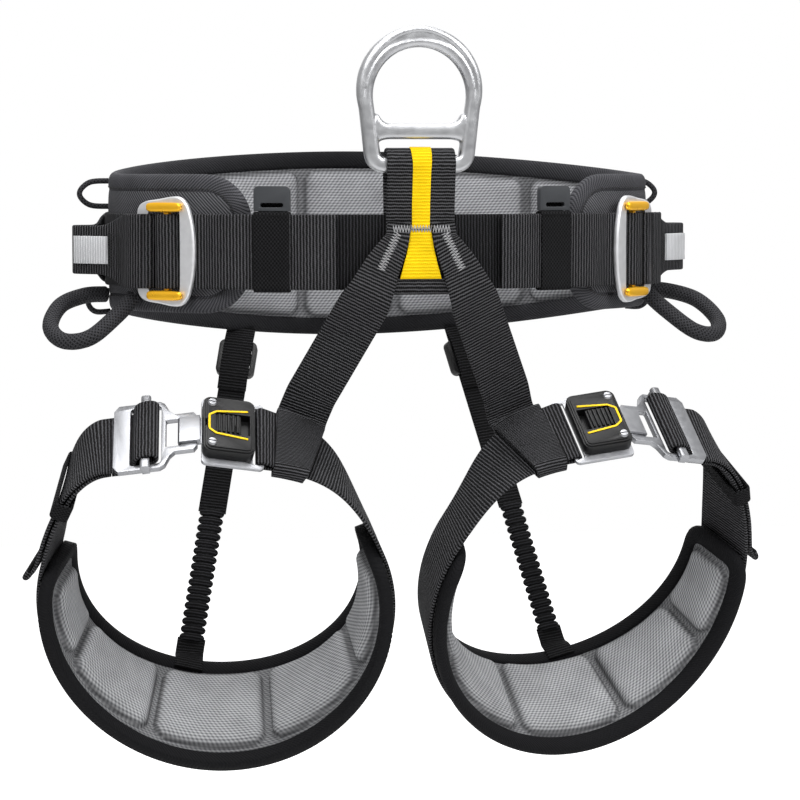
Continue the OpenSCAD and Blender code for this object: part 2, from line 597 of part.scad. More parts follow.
// The tail's loose end: its length past the strap's top, and how far it stands off the pad
tail_loose = 8;
tail_spring = 4;
module leg_webbing() {
    outer = bezier_path(outer_curve, strap_n);
    inner = bezier_path(inner_curve, strap_n);
    turn = steps(-pad_end, pad_end, under_n);
    under = [for (i = [1 : under_n - 1]) leg_webbing_point(turn[i])];
    under_wide = [for (i = [1 : under_n - 1]) cos(pad_flare) * leg_d + sin(pad_flare) * leg_out(turn[i])];
    back = [4 : -1 : 1];
    fold = [for (i = back) inner[i] + layer * strap_out(inner, inner_wide, i)];
    turn_over = [for (a = steps(90, -90, 6))
        hook_pt(fold_x + fold_r * cos(a), plate_mid + fold_r * sin(a))];
    fold_wide = concat([for (i = back) inner_wide[i]], [for (q = turn_over) -buckle_y]);
    color("black") strap(concat(fold, turn_over, inner, under, outer),
        concat(fold_wide, inner_wide, under_wide, outer_wide), web_w);
}
module leg_tail() {
    roll = leg_roll(roll_mid - frame_l - strap_lead + 1.2);
    outer = bezier_path(outer_curve, strap_n);
    on_strap = [strap_n - 1 : -1 : 1];
    run = [for (i = on_strap) outer[i] + tail_lift * strap_out(outer, outer_wide, i)];
    loose = [for (f = [0.3, 0.65, 1])
        pad_at(pad_end - f * tail_loose / pad_pace, 0, 2 * clear + web_t / 2 + tail_lift + tail_spring * f)];
    wide = concat([for (q = roll) -buckle_y], [for (i = on_strap) outer_wide[i]],
        [for (q = loose) pad_wide[1]]);
    color("black") strap(concat(roll, run, loose), wide, web_w);
}
// Keeper round the leg strap and its tail
leg_keeper_l = 12;
module leg_keeper() {
    outer = bezier_path(outer_curve, strap_n);
    i = 7;
    y = unit(outer_wide[i]);
    x = unit(outer[i + 1] - outer[i - 1]);
    z = cross(x, y);
    mid = outer[i] + tail_lift / 2 * strap_out(outer, outer_wide, i);
    color("black") place(mid, x, y, z) rotate([90, 0, 90])
        linear_extrude(leg_keeper_l, center = true) difference() {
            rounded([web_w + 7.4, 2 * layer + 6.6], 2);
            rounded([web_w + 3.8, 2 * layer + 3.6], 0.8);
        }
}

// Hook buckle: base plate, cover, latch and its spring, screws and trim
hook_w = 15;
hook_strip = 2 * hook_w - 10;
hook_tip = 0.9;
hook_t = 1.9;
base_z = plate_mid - base_t / 2;
// The base carries the cover and ends in a hook that reaches over the frame's inner bar
module hook_profile() {
    top = plate_z + plate_t + clear;
    heel = cover_x1 + clear;
    low = base_z + 0.1;
    high = base_z + base_t - 0.1;
    polygon([[cover_x1 - 0.5, low], [heel + hook_t, low], [heel + hook_t, top], [hook_tip, top],
        [hook_tip, plate_z + clear], [hook_tip + hook_t, plate_z + clear],
        [hook_tip + hook_t, top + hook_t - 1.2], [hook_tip + hook_t - 1.2, top + hook_t],
        [heel, top + hook_t], [heel, high], [cover_x1 - 0.5, high]]);
}
module hook_base() {
    x0 = fold_x - 1.6;
    color("silver") {
        at_hook_plate() translate([0, 0, base_z]) linear_extrude(base_t) difference() {
            translate([(x0 + cover_x1) / 2, 0]) rounded([cover_x1 - x0, web_w + 8], 3);
            translate([fold_x + 2.8, 0]) rounded([4.6, web_w + 1.2], 1);
        }
        at_leg_buckle() rotate([90, 0, 0]) linear_extrude(hook_strip, center = true) hook_profile();
    }
}
cover_z0 = base_z + base_t + clear;
cover_t = 8;
latch_l = 15;
latch_w = 16;
latch_x = cover_x0 + 16;
grip_w = 1.4;
pocket_t = 5.4;
module cover_outline() {
    translate([(cover_x0 + cover_x1) / 2, 0]) rounded([cover_l, cover_w], 5);
}
screw_xy = [cover_x1 - 5, cover_w / 2 - 6];
screw_d = 3;
module buckle_cover() {
    color([0.12, 0.12, 0.13]) at_hook_plate() difference() {
        translate([0, 0, cover_z0]) {
            linear_extrude(cover_t - 1.6) cover_outline();
            linear_extrude(cover_t - 0.6) offset(delta = -1) cover_outline();
            linear_extrude(cover_t) offset(delta = -2.2) cover_outline();
        }
        translate([latch_x - latch_travel / 2, 0, cover_z0 + cover_t - pocket_t / 2 + 1])
            cube([latch_l + latch_travel + 2 * clear, latch_w + 2 * clear, pocket_t + 2], center = true);
        translate([latch_x + latch_l / 2 + 3, 0, cover_z0 + cover_t - pocket_t / 2])
            cube([7, 6, pocket_t - 1], center = true);
        for (s = [-1, 1]) translate([screw_xy[0], s * screw_xy[1], cover_z0 - 1])
            cylinder(h = cover_t + 2, d = screw_d + 0.2, $fn = round_n);
    }
}
module latch() {
    z0 = cover_z0 + cover_t - pocket_t + clear;
    color([0.16, 0.16, 0.17]) at_hook_plate() {
        translate([latch_x - latch_l / 2, -latch_w / 2, z0]) cube([latch_l, latch_w, pocket_t - 1.2]);
        for (i = [0 : 4])
            translate([latch_x - latch_l / 2 + (2 * i + 1) * grip_w, 1 - latch_w / 2, z0 + pocket_t - 1.3])
                cube([grip_w, latch_w - 2, 1.6]);
    }
}
spring_r = 1.8;
spring_wire = 0.7;
spring_turns = 3;
module latch_spring() {
    x0 = latch_x + latch_l / 2 + clear + spring_wire / 2;
    z0 = cover_z0 + cover_t - pocket_t / 2;
    run = 5.2;
    path = [for (a = [0 : 45 : spring_turns * 360])
        hook_pt(x0 + run * a / (spring_turns * 360), z0 + spring_r * sin(a)) + spring_r * cos(a) * buckle_y];
    color("silver") loft(tube_rings(path, spring_wire / 2, 6, hook_x));
}
module cover_screws() {
    color("silver") at_hook_plate() for (s = [-1, 1])
        translate([screw_xy[0], s * screw_xy[1], cover_z0 + 0.2]) {
            cylinder(h = cover_t - 0.2, d = screw_d, $fn = round_n);
            translate([0, 0, cover_t - 0.2]) difference() {
                cylinder(h = 1.2, d1 = screw_d * 2, d2 = screw_d * 1.5, $fn = round_n);
                translate([0, 0, 0.7]) cube([screw_d * 1.6, 0.7, 1.4], center = true);
            }
        }
}
trim_t = 0.5;
trim_w = 1.6;
module cover_trim() {
    y = latch_w / 2 + 2;
    x0 = latch_x - latch_l / 2 - 3;
    x1 = cover_x1 - 8.5;
    color("gold") at_hook_plate() translate([0, 0, cover_z0 + cover_t + 0.05]) linear_extrude(trim_t) {
        translate([x1, -y]) square([trim_w, 2 * y]);
        for (s = [-1, 1]) translate([x0, s * y - trim_w / 2]) square([x1 + trim_w - x0, trim_w]);
    }
}
// Hook frame: a narrow hook end that widens to the adjuster's window and land
module frame_outline() {
    heel = cover_x1 + hook_t + 2 * clear;
    flare = [[heel, hook_w - 3], [heel + 2, hook_w], [5, hook_w], [8, hook_w + 3],
        [roll_mid - 11, frame_h - 2], [roll_mid - 8, frame_h],
        [frame_l - 3, frame_h], [frame_l, frame_h - 4]];
    polygon(concat(flare, [for (i = [len(flare) - 1 : -1 : 0]) [flare[i][0], -flare[i][1]]]));
}
module buckle_frame() {
    color("silver") at_leg_buckle() translate([0, 0, plate_z]) linear_extrude(plate_t) difference() {
        frame_outline();
        translate([roll_mid - land_x - window_l / 2 + 2, 0]) rounded([window_l - 4, 2 * frame_window], 2);
        translate([hook_tip + 4.6, 0]) rounded([9.8, 2 * hook_w - 8], 1);
    }
}
// Bent bar: it lies across the frame's rails and its ends hook down outside them
module adjuster_bar() {
    end_t = 2;
    y = frame_h + clear + end_t / 2;
    color("silver") at_leg_buckle() translate([roll_mid, 0, 0]) {
        translate([0, 0, leg_bar_z]) rotate([90, 0, 0])
            linear_extrude(2 * y + end_t, center = true) rounded([bar_l, bar_t], 1.8);
        for (s = [-1, 1]) translate([0, s * y, plate_mid + 2])
            cube([bar_l - 1.4, end_t, 2 * (leg_bar_z - plate_mid - 2)], center = true);
    }
}

// Risers: from the yoke in front of the belt down to the hinge line above the leg strap
loop_f = 0.19;
loop_p = bezier(inner_curve, loop_f);
loop_along = unit(bezier(inner_curve, loop_f + 0.05) - bezier(inner_curve, loop_f - 0.05));
loop_wide = unit(mix(-buckle_y, pad_wide[0], ease(loop_f)));
loop_face = unit(cross(loop_along, loop_wide));
loop_side = cross(loop_face, loop_along);
sleeve_gap = 1.1;
loop_half = web_w / 2 + sleeve_gap + web_t / 2;
hinge_p = loop_p - (loop_half + 5) * loop_side;
hinge_gap = 1.4;
// The riser's path on the yoke, as x, height and width, then its straight run to the hinge line
riser_yoke = [[13.5, yoke_z + 4, 14], [14.5, yoke_z - 6, 15], [20, yoke_z - 16, 20],
    [24, yoke_z - 23, 22.5], [31, under_z, 28]];
riser_lean = [0, 0.1, 0.3, 0.4, 0.5];
module riser() {
    yoke = [for (q = riser_yoke) [q[0], riser_face_y, q[1]]];
    away = hinge_p - yoke[4];
    last = unit(away - (away * loop_along) * loop_along);
    foot = hinge_p - hinge_gap * last;
    knee = foot - 14 * last;
    fall = [0.25, 0.5, 0.75, 1];
    path = concat(yoke, [for (f = fall) mix(yoke[4], knee, f)], [foot]);
    wide = concat([for (z = riser_lean) [1, 0, z]], [for (f = fall) mix([1, 0, 0.5], -loop_along, f)],
        [-loop_along]);
    color("black") strap(path, wide, concat([for (q = riser_yoke) q[2]], [for (i = [0 : 4]) riser_w]));
}
// The riser's end is sewn into a sleeve that follows the leg strap and its folded end
function inner_heading(f) = unit(bezier(inner_curve, f + 0.03) - bezier(inner_curve, f - 0.03));
function sleeve_ring(f, grow) =
    let (along = inner_heading(f), face = unit(cross(along, mix(-buckle_y, pad_wide[0], ease(f)))),
         side = cross(face, along) * (web_w / 2 + grow), c = bezier(inner_curve, f),
         low = -(web_t / 2 + grow) * face, high = (layer + web_t / 2 + grow) * face)
        [c - side + low, c + side + low, c + side + high, c - side + high];
sleeve_reach = 0.135;
function sleeve(reach, grow) = [for (f = steps(loop_f - reach, loop_f + reach, 7)) sleeve_ring(f, grow)];
module riser_loop() {
    tab = hinge_p + hinge_gap * loop_side;
    root = loop_p - (loop_half - 0.8) * loop_side;
    color("black") {
        difference() {
            loft(sleeve(sleeve_reach, sleeve_gap + web_t));
            loft(sleeve(sleeve_reach + 0.02, sleeve_gap));
        }
        strap([tab, mix(tab, root, 0.5), root], loop_along, riser_w);
    }
}

// Rear strap: webbing from the belt's lower edge to the pad, with a ribbed elastic sleeve below
rear_top_t = 180 - asin(rear_x / belt_half_w);
rear_top = belt_at(rear_top_t, -5, pad_mid(rear_top_t) - belt_edge(rear_top_t, 0) - 2);
rear_foot_a = 19;
rear_foot = pad_at(rear_foot_a, -pad_edge(rear_foot_a, 0) - 2.2, -4);
rear_dir = unit(rear_foot - rear_top);
rear_len = norm(rear_foot - rear_top);
rear_wide = unit([1, 0.25, 0] - ([1, 0.25, 0] * rear_dir) * rear_dir);
rear_t = 2;
adjuster_l = 24;
sleeve_to = rear_len - 12;
sleeve_from = sleeve_to - rear_len * sleeve_share + 0.4;
function rear_at(s) = rear_top + s * rear_dir;
module rear_strap() {
    color("black") {
        strap([rear_at(0.4), rear_at(sleeve_from - 0.4)], rear_wide, rear_w, rear_t);
        strap([rear_at(sleeve_to + 0.5), rear_at(rear_len)], rear_wide, rear_w, rear_t);
    }
}
// Each rib is an oval that swells between two waists, given as place along the rib and girth
rib_form = [[0.02, 0.75], [0.5, 1.2], [0.98, 0.75]];
module rear_sleeve() {
    pitch = (sleeve_to - sleeve_from) / ribs;
    half_w = 0.375 * rear_w * rear_wide;
    half_t = 3 * cross(rear_dir, rear_wide);
    color("black") loft([for (i = [0 : ribs - 1], q = rib_form)
        [for (a = [22.5 : 45 : 360]) rear_at(sleeve_from + (i + q[0]) * pitch)
            + q[1] * (cos(a) * half_w + sin(a) * half_t)]]);
}
module strap_adjuster() {
    color("black") place(rear_at(adjuster_l / 2 + 6), rear_wide, rear_dir, cross(rear_wide, rear_dir))
        difference() {
            linear_extrude(6, center = true) rounded([rear_w + 7, adjuster_l], 4);
            linear_extrude(rear_t + 1, center = true) square([rear_w + 1, adjuster_l + 2], center = true);
            for (s = [-1, 1]) translate([0, s * 5, 0])
                linear_extrude(8, center = true) rounded([rear_w + 1, 5], 1.5);
        }
}

belt_foam_pad();  // belt_foam
belt_shell();
belt_binding();
rear_webbing();
belly_webbing();
side(1) belly_tail();  // belly_tail_left
side(-1) belly_tail();  // belly_tail_right
side(1) waist_plate();  // waist_plate_left
side(-1) waist_plate();  // waist_plate_right
side(1) waist_slider();  // waist_slider_left
side(-1) waist_slider();  // waist_slider_right
side(1) lateral_loop();  // lateral_loop_left
side(-1) lateral_loop();  // lateral_loop_right
for (s = [1, -1]) side(s) lateral_band();  // lateral_bands
side(1) gear_loop();  // gear_loop_left
side(-1) gear_loop();  // gear_loop_right
tool_loops();
side(1) keeper();  // keeper_left
side(-1) keeper();  // keeper_right
for (s = [1, -1]) side(s) keeper_clip();  // keeper_clips
ventral_ring();
ring_strap();
ring_stripe();
side(1) riser();  // riser_left
side(-1) riser();  // riser_right
side(1) riser_loop();  // riser_loop_left
side(-1) riser_loop();  // riser_loop_right
side(1) leg_foam_pad();  // leg_foam_left
side(-1) leg_foam_pad();  // leg_foam_right
side(1) leg_shell();  // leg_shell_left
side(-1) leg_shell();  // leg_shell_right
side(1) leg_binding();  // leg_binding_left
side(-1) leg_binding();  // leg_binding_right
side(1) leg_webbing();  // leg_webbing_left
side(-1) leg_webbing();  // leg_webbing_right
side(1) leg_tail();  // leg_tail_left
side(-1) leg_tail();  // leg_tail_right
side(1) leg_keeper();  // leg_keeper_left
side(-1) leg_keeper();  // leg_keeper_right
side(1) hook_base();  // hook_base_left
side(-1) hook_base();  // hook_base_right
side(1) buckle_cover();  // buckle_cover_left
side(-1) buckle_cover();  // buckle_cover_right
side(1) latch();  // latch_left
side(-1) latch();  // latch_right
side(1) latch_spring();  // latch_spring_left
side(-1) latch_spring();  // latch_spring_right
side(1) cover_screws();  // cover_screws_left
side(-1) cover_screws();  // cover_screws_right
side(1) cover_trim();  // cover_trim_left
side(-1) cover_trim();  // cover_trim_right
side(1) buckle_frame();  // buckle_frame_left
side(-1) buckle_frame();  // buckle_frame_right
side(1) adjuster_bar();  // adjuster_bar_left
side(-1) adjuster_bar();  // adjuster_bar_right
side(1) rear_strap();  // rear_strap_left
side(-1) rear_strap();  // rear_strap_right
side(1) rear_sleeve();  // rear_sleeve_left
side(-1) rear_sleeve();  // rear_sleeve_right
for (s = [1, -1]) side(s) strap_adjuster();  // strap_adjusters
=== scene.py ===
"""Looks of a padded seat harness with a ventral ring and two leg loops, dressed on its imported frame."""
import bmesh
import bpy
import numpy as np
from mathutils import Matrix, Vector


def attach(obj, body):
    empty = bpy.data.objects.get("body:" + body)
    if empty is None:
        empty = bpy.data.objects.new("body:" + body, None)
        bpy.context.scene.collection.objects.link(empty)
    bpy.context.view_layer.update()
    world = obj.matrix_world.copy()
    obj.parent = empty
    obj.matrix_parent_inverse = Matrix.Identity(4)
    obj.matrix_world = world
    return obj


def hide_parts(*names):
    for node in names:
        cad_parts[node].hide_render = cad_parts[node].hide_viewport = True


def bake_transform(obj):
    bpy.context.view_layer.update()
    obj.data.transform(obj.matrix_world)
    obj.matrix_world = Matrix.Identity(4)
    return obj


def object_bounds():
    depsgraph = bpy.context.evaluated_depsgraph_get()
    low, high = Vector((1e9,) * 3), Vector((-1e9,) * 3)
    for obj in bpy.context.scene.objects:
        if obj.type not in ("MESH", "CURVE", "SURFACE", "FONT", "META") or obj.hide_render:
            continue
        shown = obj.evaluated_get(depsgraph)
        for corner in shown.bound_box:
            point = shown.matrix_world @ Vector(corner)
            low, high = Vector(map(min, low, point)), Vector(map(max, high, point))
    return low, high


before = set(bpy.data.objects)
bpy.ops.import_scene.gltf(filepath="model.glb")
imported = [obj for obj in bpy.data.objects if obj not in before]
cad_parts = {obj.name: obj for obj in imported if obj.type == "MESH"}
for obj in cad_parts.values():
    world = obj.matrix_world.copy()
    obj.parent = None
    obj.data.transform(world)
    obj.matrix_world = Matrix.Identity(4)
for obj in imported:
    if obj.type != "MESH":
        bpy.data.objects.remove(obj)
cad_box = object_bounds()

# The photographer's camera: level with the belt, a little to the wearer's right, two metres off.
# The long lens gives 0.6 mm to a pixel at the ventral ring, as the 45 mm webbing shows.
VIEW_AZ, VIEW_EL, VIEW_DISTANCE = np.radians(-12.0), np.radians(1.5), 2.0
AIM_RIGHT, AIM_DOWN, SENSOR_W, LENS = 0.0127, 0.0971, 36.0, 141.75
UP = np.array([0.0, 0.0, 1.0])
eye_level = np.array([np.sin(VIEW_AZ), -np.cos(VIEW_AZ), 0.0])
eye = VIEW_DISTANCE * (np.cos(VIEW_EL) * eye_level + np.sin(VIEW_EL) * UP)
eye_right = np.array([np.cos(VIEW_AZ), np.sin(VIEW_AZ), 0.0])
eye_up = np.cross(eye_right, -eye / VIEW_DISTANCE)
aim = AIM_RIGHT * eye_right - AIM_DOWN * eye_up


def shown(name, data):
    """A new object of that name in the scene."""
    obj = bpy.data.objects.new(name, data)
    bpy.context.scene.collection.objects.link(obj)
    return obj


def set_up(obj, place, at):
    """Puts a camera or a lamp at a place and turns it towards a point."""
    obj.location = Vector(place)
    obj.rotation_euler = (Vector(at) - Vector(place)).to_track_quat("-Z", "Y").to_euler()


lens = bpy.data.cameras.new("camera")
lens.sensor_width, lens.lens, lens.clip_end = SENSOR_W, LENS, 20.0
camera = shown("camera", lens)
set_up(camera, eye, aim)
bpy.context.scene.camera = camera
bpy.context.scene.view_settings.view_transform = "Standard"

# Belt lining: thermoformed foam panels under a grey spacer mesh, next to the wearer.
# The mesh is pressed down flat in the channels between panels and along the edge, and swells between them.
BELT_HALF_W, BELT_HALF_D, WING_H, BACK_H = 172.0, 112.0, 84.0, 122.0
WING_END, WING_R, WING_LIFT, BACK_RISE = 35.0, 30.0, 4.5, 80.0
CLEAR, SHELL_T, SEWN_T, BELT_FOAM, BIND_W = 0.3, 2.4, 4.0, 11.0, 11.0
PAD_INSET, TUCK = BIND_W + 3 * CLEAR, BIND_W - 1.0
FOAM_SEAT = -SHELL_T - CLEAR


def unit(v):
    """v divided by its length, along the last axis."""
    return v / np.linalg.norm(v, axis=-1, keepdims=True)


def ease(x):
    """Smooth step from 0 to 1: 3x^2 - 2x^3 on x held between 0 and 1."""
    x = np.clip(x, 0.0, 1.0)
    return x * x * (3 - 2 * x)


def belt_out(t):
    """Outward normal of the belt's ellipse at the angle t in degrees from the front."""
    a = np.radians(t)
    return unit(np.stack([BELT_HALF_D * np.sin(a), -BELT_HALF_W * np.cos(a), np.zeros_like(a)], -1))


def belt(t, off, z):
    """Point of the belt: the ellipse (w sin t, -d cos t) moved off along its normal, at height z."""
    t, off, z = np.broadcast_arrays(np.asarray(t, float), off, z)
    a = np.radians(t)
    at = np.stack([BELT_HALF_W * np.sin(a), -BELT_HALF_D * np.cos(a), z], -1)
    return at + off[..., None] * belt_out(t)


def belt_pace(t):
    """Millimetres of belt to a degree at t: the length of the ellipse's derivative."""
    a = np.radians(t)
    return np.hypot(BELT_HALF_W * np.cos(a), BELT_HALF_D * np.sin(a)) * np.pi / 180


def corner(d, r):
    """How far a corner of radius r draws an edge in at d from its end: r - sqrt(r^2 - (r-d)^2)."""
    d = np.clip(d, 0.0, r)
    return r - np.sqrt(np.maximum(r * r - (r - d) ** 2, 0.0))


def to_back(t):
    """Share of the way from the wings' form, 0 at the hips, to the back's, 1 at the middle of the back."""
    return ease((np.minimum(t, 360 - t) - BACK_RISE) / (180 - BACK_RISE))


def belt_edge(t, inset):
    """Half height of the belt pad at t, from the wing's height to the back's, with rounded wing ends."""
    from_end = (np.minimum(t, 360 - t) - WING_END) * belt_pace(WING_END)
    high = WING_H + (BACK_H - WING_H) * to_back(t)
    return high / 2 - inset - corner(from_end - inset, max(WING_R - inset, 1.0))


def belt_pad(t, off, across):
    """Point of the belt's pad, across from its middle line, which is lifted by WING_LIFT at the wings."""
    return belt(t, off, across + WING_LIFT * (1 - to_back(t)))


def grid_faces(rows, cols, around=False, closed=False):
    """Quads of a grid of points; around joins its last column to the first, closed its last row."""
    r, c = np.arange(rows if closed else rows - 1), np.arange(cols if around else cols - 1)
    r, c = (g.ravel() for g in np.meshgrid(r, c, indexing="ij"))
    r2, c2 = (r + 1) % rows, (c + 1) % cols
    return np.stack([r * cols + c, r * cols + c2, r2 * cols + c2, r2 * cols + c], 1)


def piece(name, points, faces, ends=(), weave=None):
    """Smooth mesh from points in millimetres: faces and end caps turned so that its volume is positive.
    weave holds each point's place in the cloth in millimetres, kept as a UV map of that name."""
    points = np.asarray(points, float).reshape(-1, 3)
    all_faces = [list(map(int, f)) for f in faces] + [list(map(int, f)) for f in ends]
    a, b, c, d = (points[faces[:, k]] for k in range(4))
    if np.einsum("ij,ij->", a, np.cross(b, c)) + np.einsum("ij,ij->", a, np.cross(c, d)) < 0:
        all_faces = [f[::-1] for f in all_faces]
    mesh = bpy.data.meshes.new(name)
    mesh.from_pydata((points / 1000).tolist(), [], all_faces)
    mesh.update()
    if weave is not None:
        at = np.zeros(len(mesh.loops), int)
        mesh.loops.foreach_get("vertex_index", at)
        layer = mesh.uv_layers.new(name="weave")
        layer.data.foreach_set("uv", np.asarray(weave, np.float32).reshape(-1, 2)[at].ravel())
    mesh.polygons.foreach_set("use_smooth", np.ones(len(mesh.polygons), bool))
    return shown(name, mesh)


def skin(name, points, weave=None, closed=False):
    """Piece from a grid whose rows are its sections, each joined round; it is capped unless it is closed."""
    rows, cols = points.shape[:2]
    ends = () if closed else (range(cols), range((rows - 1) * cols, rows * cols))
    return piece(name, points, grid_faces(rows, cols, around=True, closed=closed), ends, weave)


def linear(code):
    """Linear colour of an sRGB hex code: ((c + 0.055) / 1.055)^2.4 above the toe, c / 12.92 in it."""
    c = np.array([int(code[k:k + 2], 16) for k in (1, 3, 5)]) / 255
    return (*np.where(c <= 0.04045, c / 12.92, ((c + 0.055) / 1.055) ** 2.4), 1.0)


def add(tree, kind, inputs=None, **settings):
    """Adds a shader node with its settings, sets or links its inputs, and gives its first output."""
    made = tree.nodes.new("ShaderNode" + kind)
    for key, value in settings.items():
        setattr(made, key, value)
    for key, value in (inputs or {}).items():
        if isinstance(value, bpy.types.NodeSocket):
            tree.links.new(value, made.inputs[key])
        else:
            made.inputs[key].default_value = value
    return made.outputs[0]


def maths(tree, operation, *values):
    """Result of that operation on sockets or numbers."""
    return add(tree, "Math", dict(enumerate(values)), operation=operation)


def mixed(tree, share, low, high, blend="MIX"):
    """Colour from low to high by share, or with MULTIPLY their product."""
    return add(tree, "Mix", {0: share, 6: low, 7: high}, data_type="RGBA", blend_type=blend).node.outputs[2]


def mottle(tree, scale, detail, rough=0.5):
    """Noise fixed to the piece, with that many grains to a metre."""
    place = add(tree, "TexCoord").node.outputs["Object"]
    return add(tree, "TexNoise", {"Vector": place, "Scale": scale, "Detail": detail, "Roughness": rough})


def spread(tree, noise, low, high):
    """The middle part of a noise, 0.3 to 0.7, spread over low to high."""
    return add(tree, "MapRange", {0: noise, 1: 0.3, 2: 0.7, 3: low, 4: high})


def relief(tree, height, strength, depth):
    """Normal of a bump of that height map, depth in millimetres."""
    return add(tree, "Bump", {"Height": height, "Strength": strength, "Distance": depth / 1000})


def finish(name, **surface):
    """A new material of that name, and its node tree with a Principled shader set to the given sockets."""
    material = bpy.data.materials.new(name)
    material.use_nodes = True
    shader = material.node_tree.nodes["Principled BSDF"]
    for key, value in surface.items():
        shader.inputs[key.replace("_", " ")].default_value = value
    return material, material.node_tree, shader


def feed(tree, shader, **sockets):
    """Links node outputs to the shader's sockets of those names."""
    for key, value in sockets.items():
        tree.links.new(value, shader.inputs[key.replace("_", " ")])


def wave(tree, along, across, per_along, per_across):
    """sin(2 pi (along / per_along + across / per_across)), between -1 and 1."""
    first = maths(tree, "MULTIPLY", along, 2 * np.pi / per_along)
    return maths(tree, "SINE", maths(tree, "MULTIPLY_ADD", across, 2 * np.pi / per_across, first))


def woven(name, pattern, crest, groove, rough, depth, shade_and_dark_tape=None):
    """Cloth of that name: pattern(tree, u, v) gives its height between -1 and 1 from the place in the weave.
    High threads take the crest colour and low ones the groove colour, with a faint mottle; depth is in mm.
    Where the piece's shade attribute rises to 1, the cloth takes the last colour given: painted shade where
    shade falls, and on the leg pads' edging the tape's own dark colour."""
    material, tree, shader = finish(name, Roughness=rough, Specular_IOR_Level=0.12)
    place = tree.nodes.new("ShaderNodeSeparateXYZ")
    tree.links.new(add(tree, "UVMap", uv_map="weave"), place.inputs[0])
    height = add(tree, "MapRange", {0: pattern(tree, *place.outputs[:2]), 1: -1.0, 2: 1.0})
    tone = spread(tree, mottle(tree, 50.0, 3.0), 0.87, 1.1)
    colour = mixed(tree, 1.0, mixed(tree, height, linear(groove), linear(crest)), tone, "MULTIPLY")
    # Painted shade: a darker colour mixed in by the piece's attribute, for shade in channels, hollows and
    # shaded parts; on the leg edging it is the tape's own dark colour.
    if shade_and_dark_tape:
        shade_and_dark_tape_share = add(tree, "Attribute", attribute_name="shade_and_dark_tape_share").node.outputs["Fac"]
        colour = mixed(tree, shade_and_dark_tape_share, colour, linear(shade_and_dark_tape))
    feed(tree, shader, Base_Color=colour, Normal=relief(tree, height, 0.8, depth))
    return material


def spacer_mesh(tree, u, v):
    """Warp knit in rows 1.8 mm apart, its long eyelets shifted by half from row to row:
    0.55 sin(v/1.8) + 0.5 sin(u/2.9 + v/3.6), drawn coarser than the true knit, finer than a pixel."""
    eyelets = maths(tree, "MULTIPLY", wave(tree, u, v, 2.9, 3.6), 0.5)
    return maths(tree, "MULTIPLY_ADD", wave(tree, u, v, 1e6, 1.8), 0.55, eyelets)


def panel_rise(u, v, half, marks, full):
    """Thickness of a lining at u along and v across: flat in the channels at marks and near the edge at half,
    a quarter round shoulder, and a low dome on each panel. Also gives the share of painted shade there:
    most at the foot of each shoulder, half in the channels and near the edge, none on top of the panels."""
    shoulder, channel, margin, round_r, dome = 7.5, 2.2, 2.4, 8.0, 28.0
    i = np.clip(np.searchsorted(marks, u) - 1, 0, len(marks) - 2)
    mid, span = (marks[i] + marks[i + 1]) / 2, (marks[i + 1] - marks[i]) / 2 - channel
    qu, qv = np.abs(u - mid) - span + round_r, np.abs(v) - (half - margin) + round_r
    outside = np.hypot(np.maximum(qu, 0), np.maximum(qv, 0)) + np.minimum(np.maximum(qu, qv), 0)
    inside = round_r - outside
    x = np.clip(inside / shoulder, 0, 1)
    rise = SEWN_T + (full - SEWN_T) * (0.8 * np.sqrt(1 - (1 - x) ** 2) + 0.2 * ease(inside / dome))
    return rise, np.where(inside < 0, 0.5, 0.3 * ease(1 - inside / 5) + 0.55 * ease(1 - inside / 2.2))


def swell(obj, held, reach):
    """Cloth simulation of a lining: pressure lifts it between the held points, by reach metres at most."""
    mesh = obj.data
    rest = np.zeros(len(mesh.vertices) * 3, np.float32)
    mesh.vertices.foreach_get("co", rest)
    rest = rest.reshape(-1, 3)
    group = obj.vertex_groups.new(name="sewn")
    group.add(np.flatnonzero(held).tolist(), 1.0, "REPLACE")
    cloth = obj.modifiers.new("cloth", "CLOTH")
    cloth.settings.quality = 5
    cloth.settings.mass = 0.25
    cloth.settings.tension_stiffness = cloth.settings.compression_stiffness = 12
    cloth.settings.bending_stiffness = 0.4
    cloth.settings.use_pressure = True
    cloth.settings.uniform_pressure_force = 4
    cloth.settings.vertex_group_mass = "sewn"
    cloth.settings.effector_weights.gravity = 0
    cloth.collision_settings.use_collision = False
    for step in range(1, SWELL_FRAMES + 1):
        bpy.context.scene.frame_set(step)
    blown = obj.evaluated_get(bpy.context.evaluated_depsgraph_get()).to_mesh()
    moved = np.zeros(rest.size, np.float32)
    blown.vertices.foreach_get("co", moved)
    move = moved.reshape(-1, 3) - rest
    far = np.linalg.norm(move, axis=1, keepdims=True)
    rest += move * np.minimum(1, reach / np.maximum(far, 1e-9))
    obj.modifiers.remove(cloth)
    obj.vertex_groups.remove(group)
    mesh.vertices.foreach_set("co", rest.ravel())
    mesh.update()
    bpy.context.scene.frame_set(1)


def length_along(turn, pace):
    """Millimetres along a pad to each angle of turn: the sum of its steps times the pace in their middles."""
    return np.r_[0, np.cumsum(np.diff(turn) * pace((turn[1:] + turn[:-1]) / 2))]


def quilt(name, place, turn, u, half, across, off, back_off):
    """Layer of a pad: place(turn, off, across), its face at off and its back flat at back_off.
    u is the length along the pad, and half its half width, at each angle of turn."""
    back_v = np.stack([half, -half], 1)
    front = place(turn[:, None], off, across)
    back = place(turn[:, None], back_off + 0 * back_v, back_v)
    weave = np.stack(np.broadcast_arrays(u[:, None], np.hstack([across, back_v])), -1)
    return skin(name, np.concatenate([front, back], 1), weave)


def keep_shade_and_dark_tape(obj, share):
    """Keeps the share of painted shade at each point, or on dark edging tape the share of its dark colour, as
    the attribute that its material reads.
    """
    shade_and_dark_tape_share = obj.data.attributes.new("shade_and_dark_tape_share", "FLOAT", "POINT")
    shade_and_dark_tape_share.data.foreach_set("value", np.ravel(share))


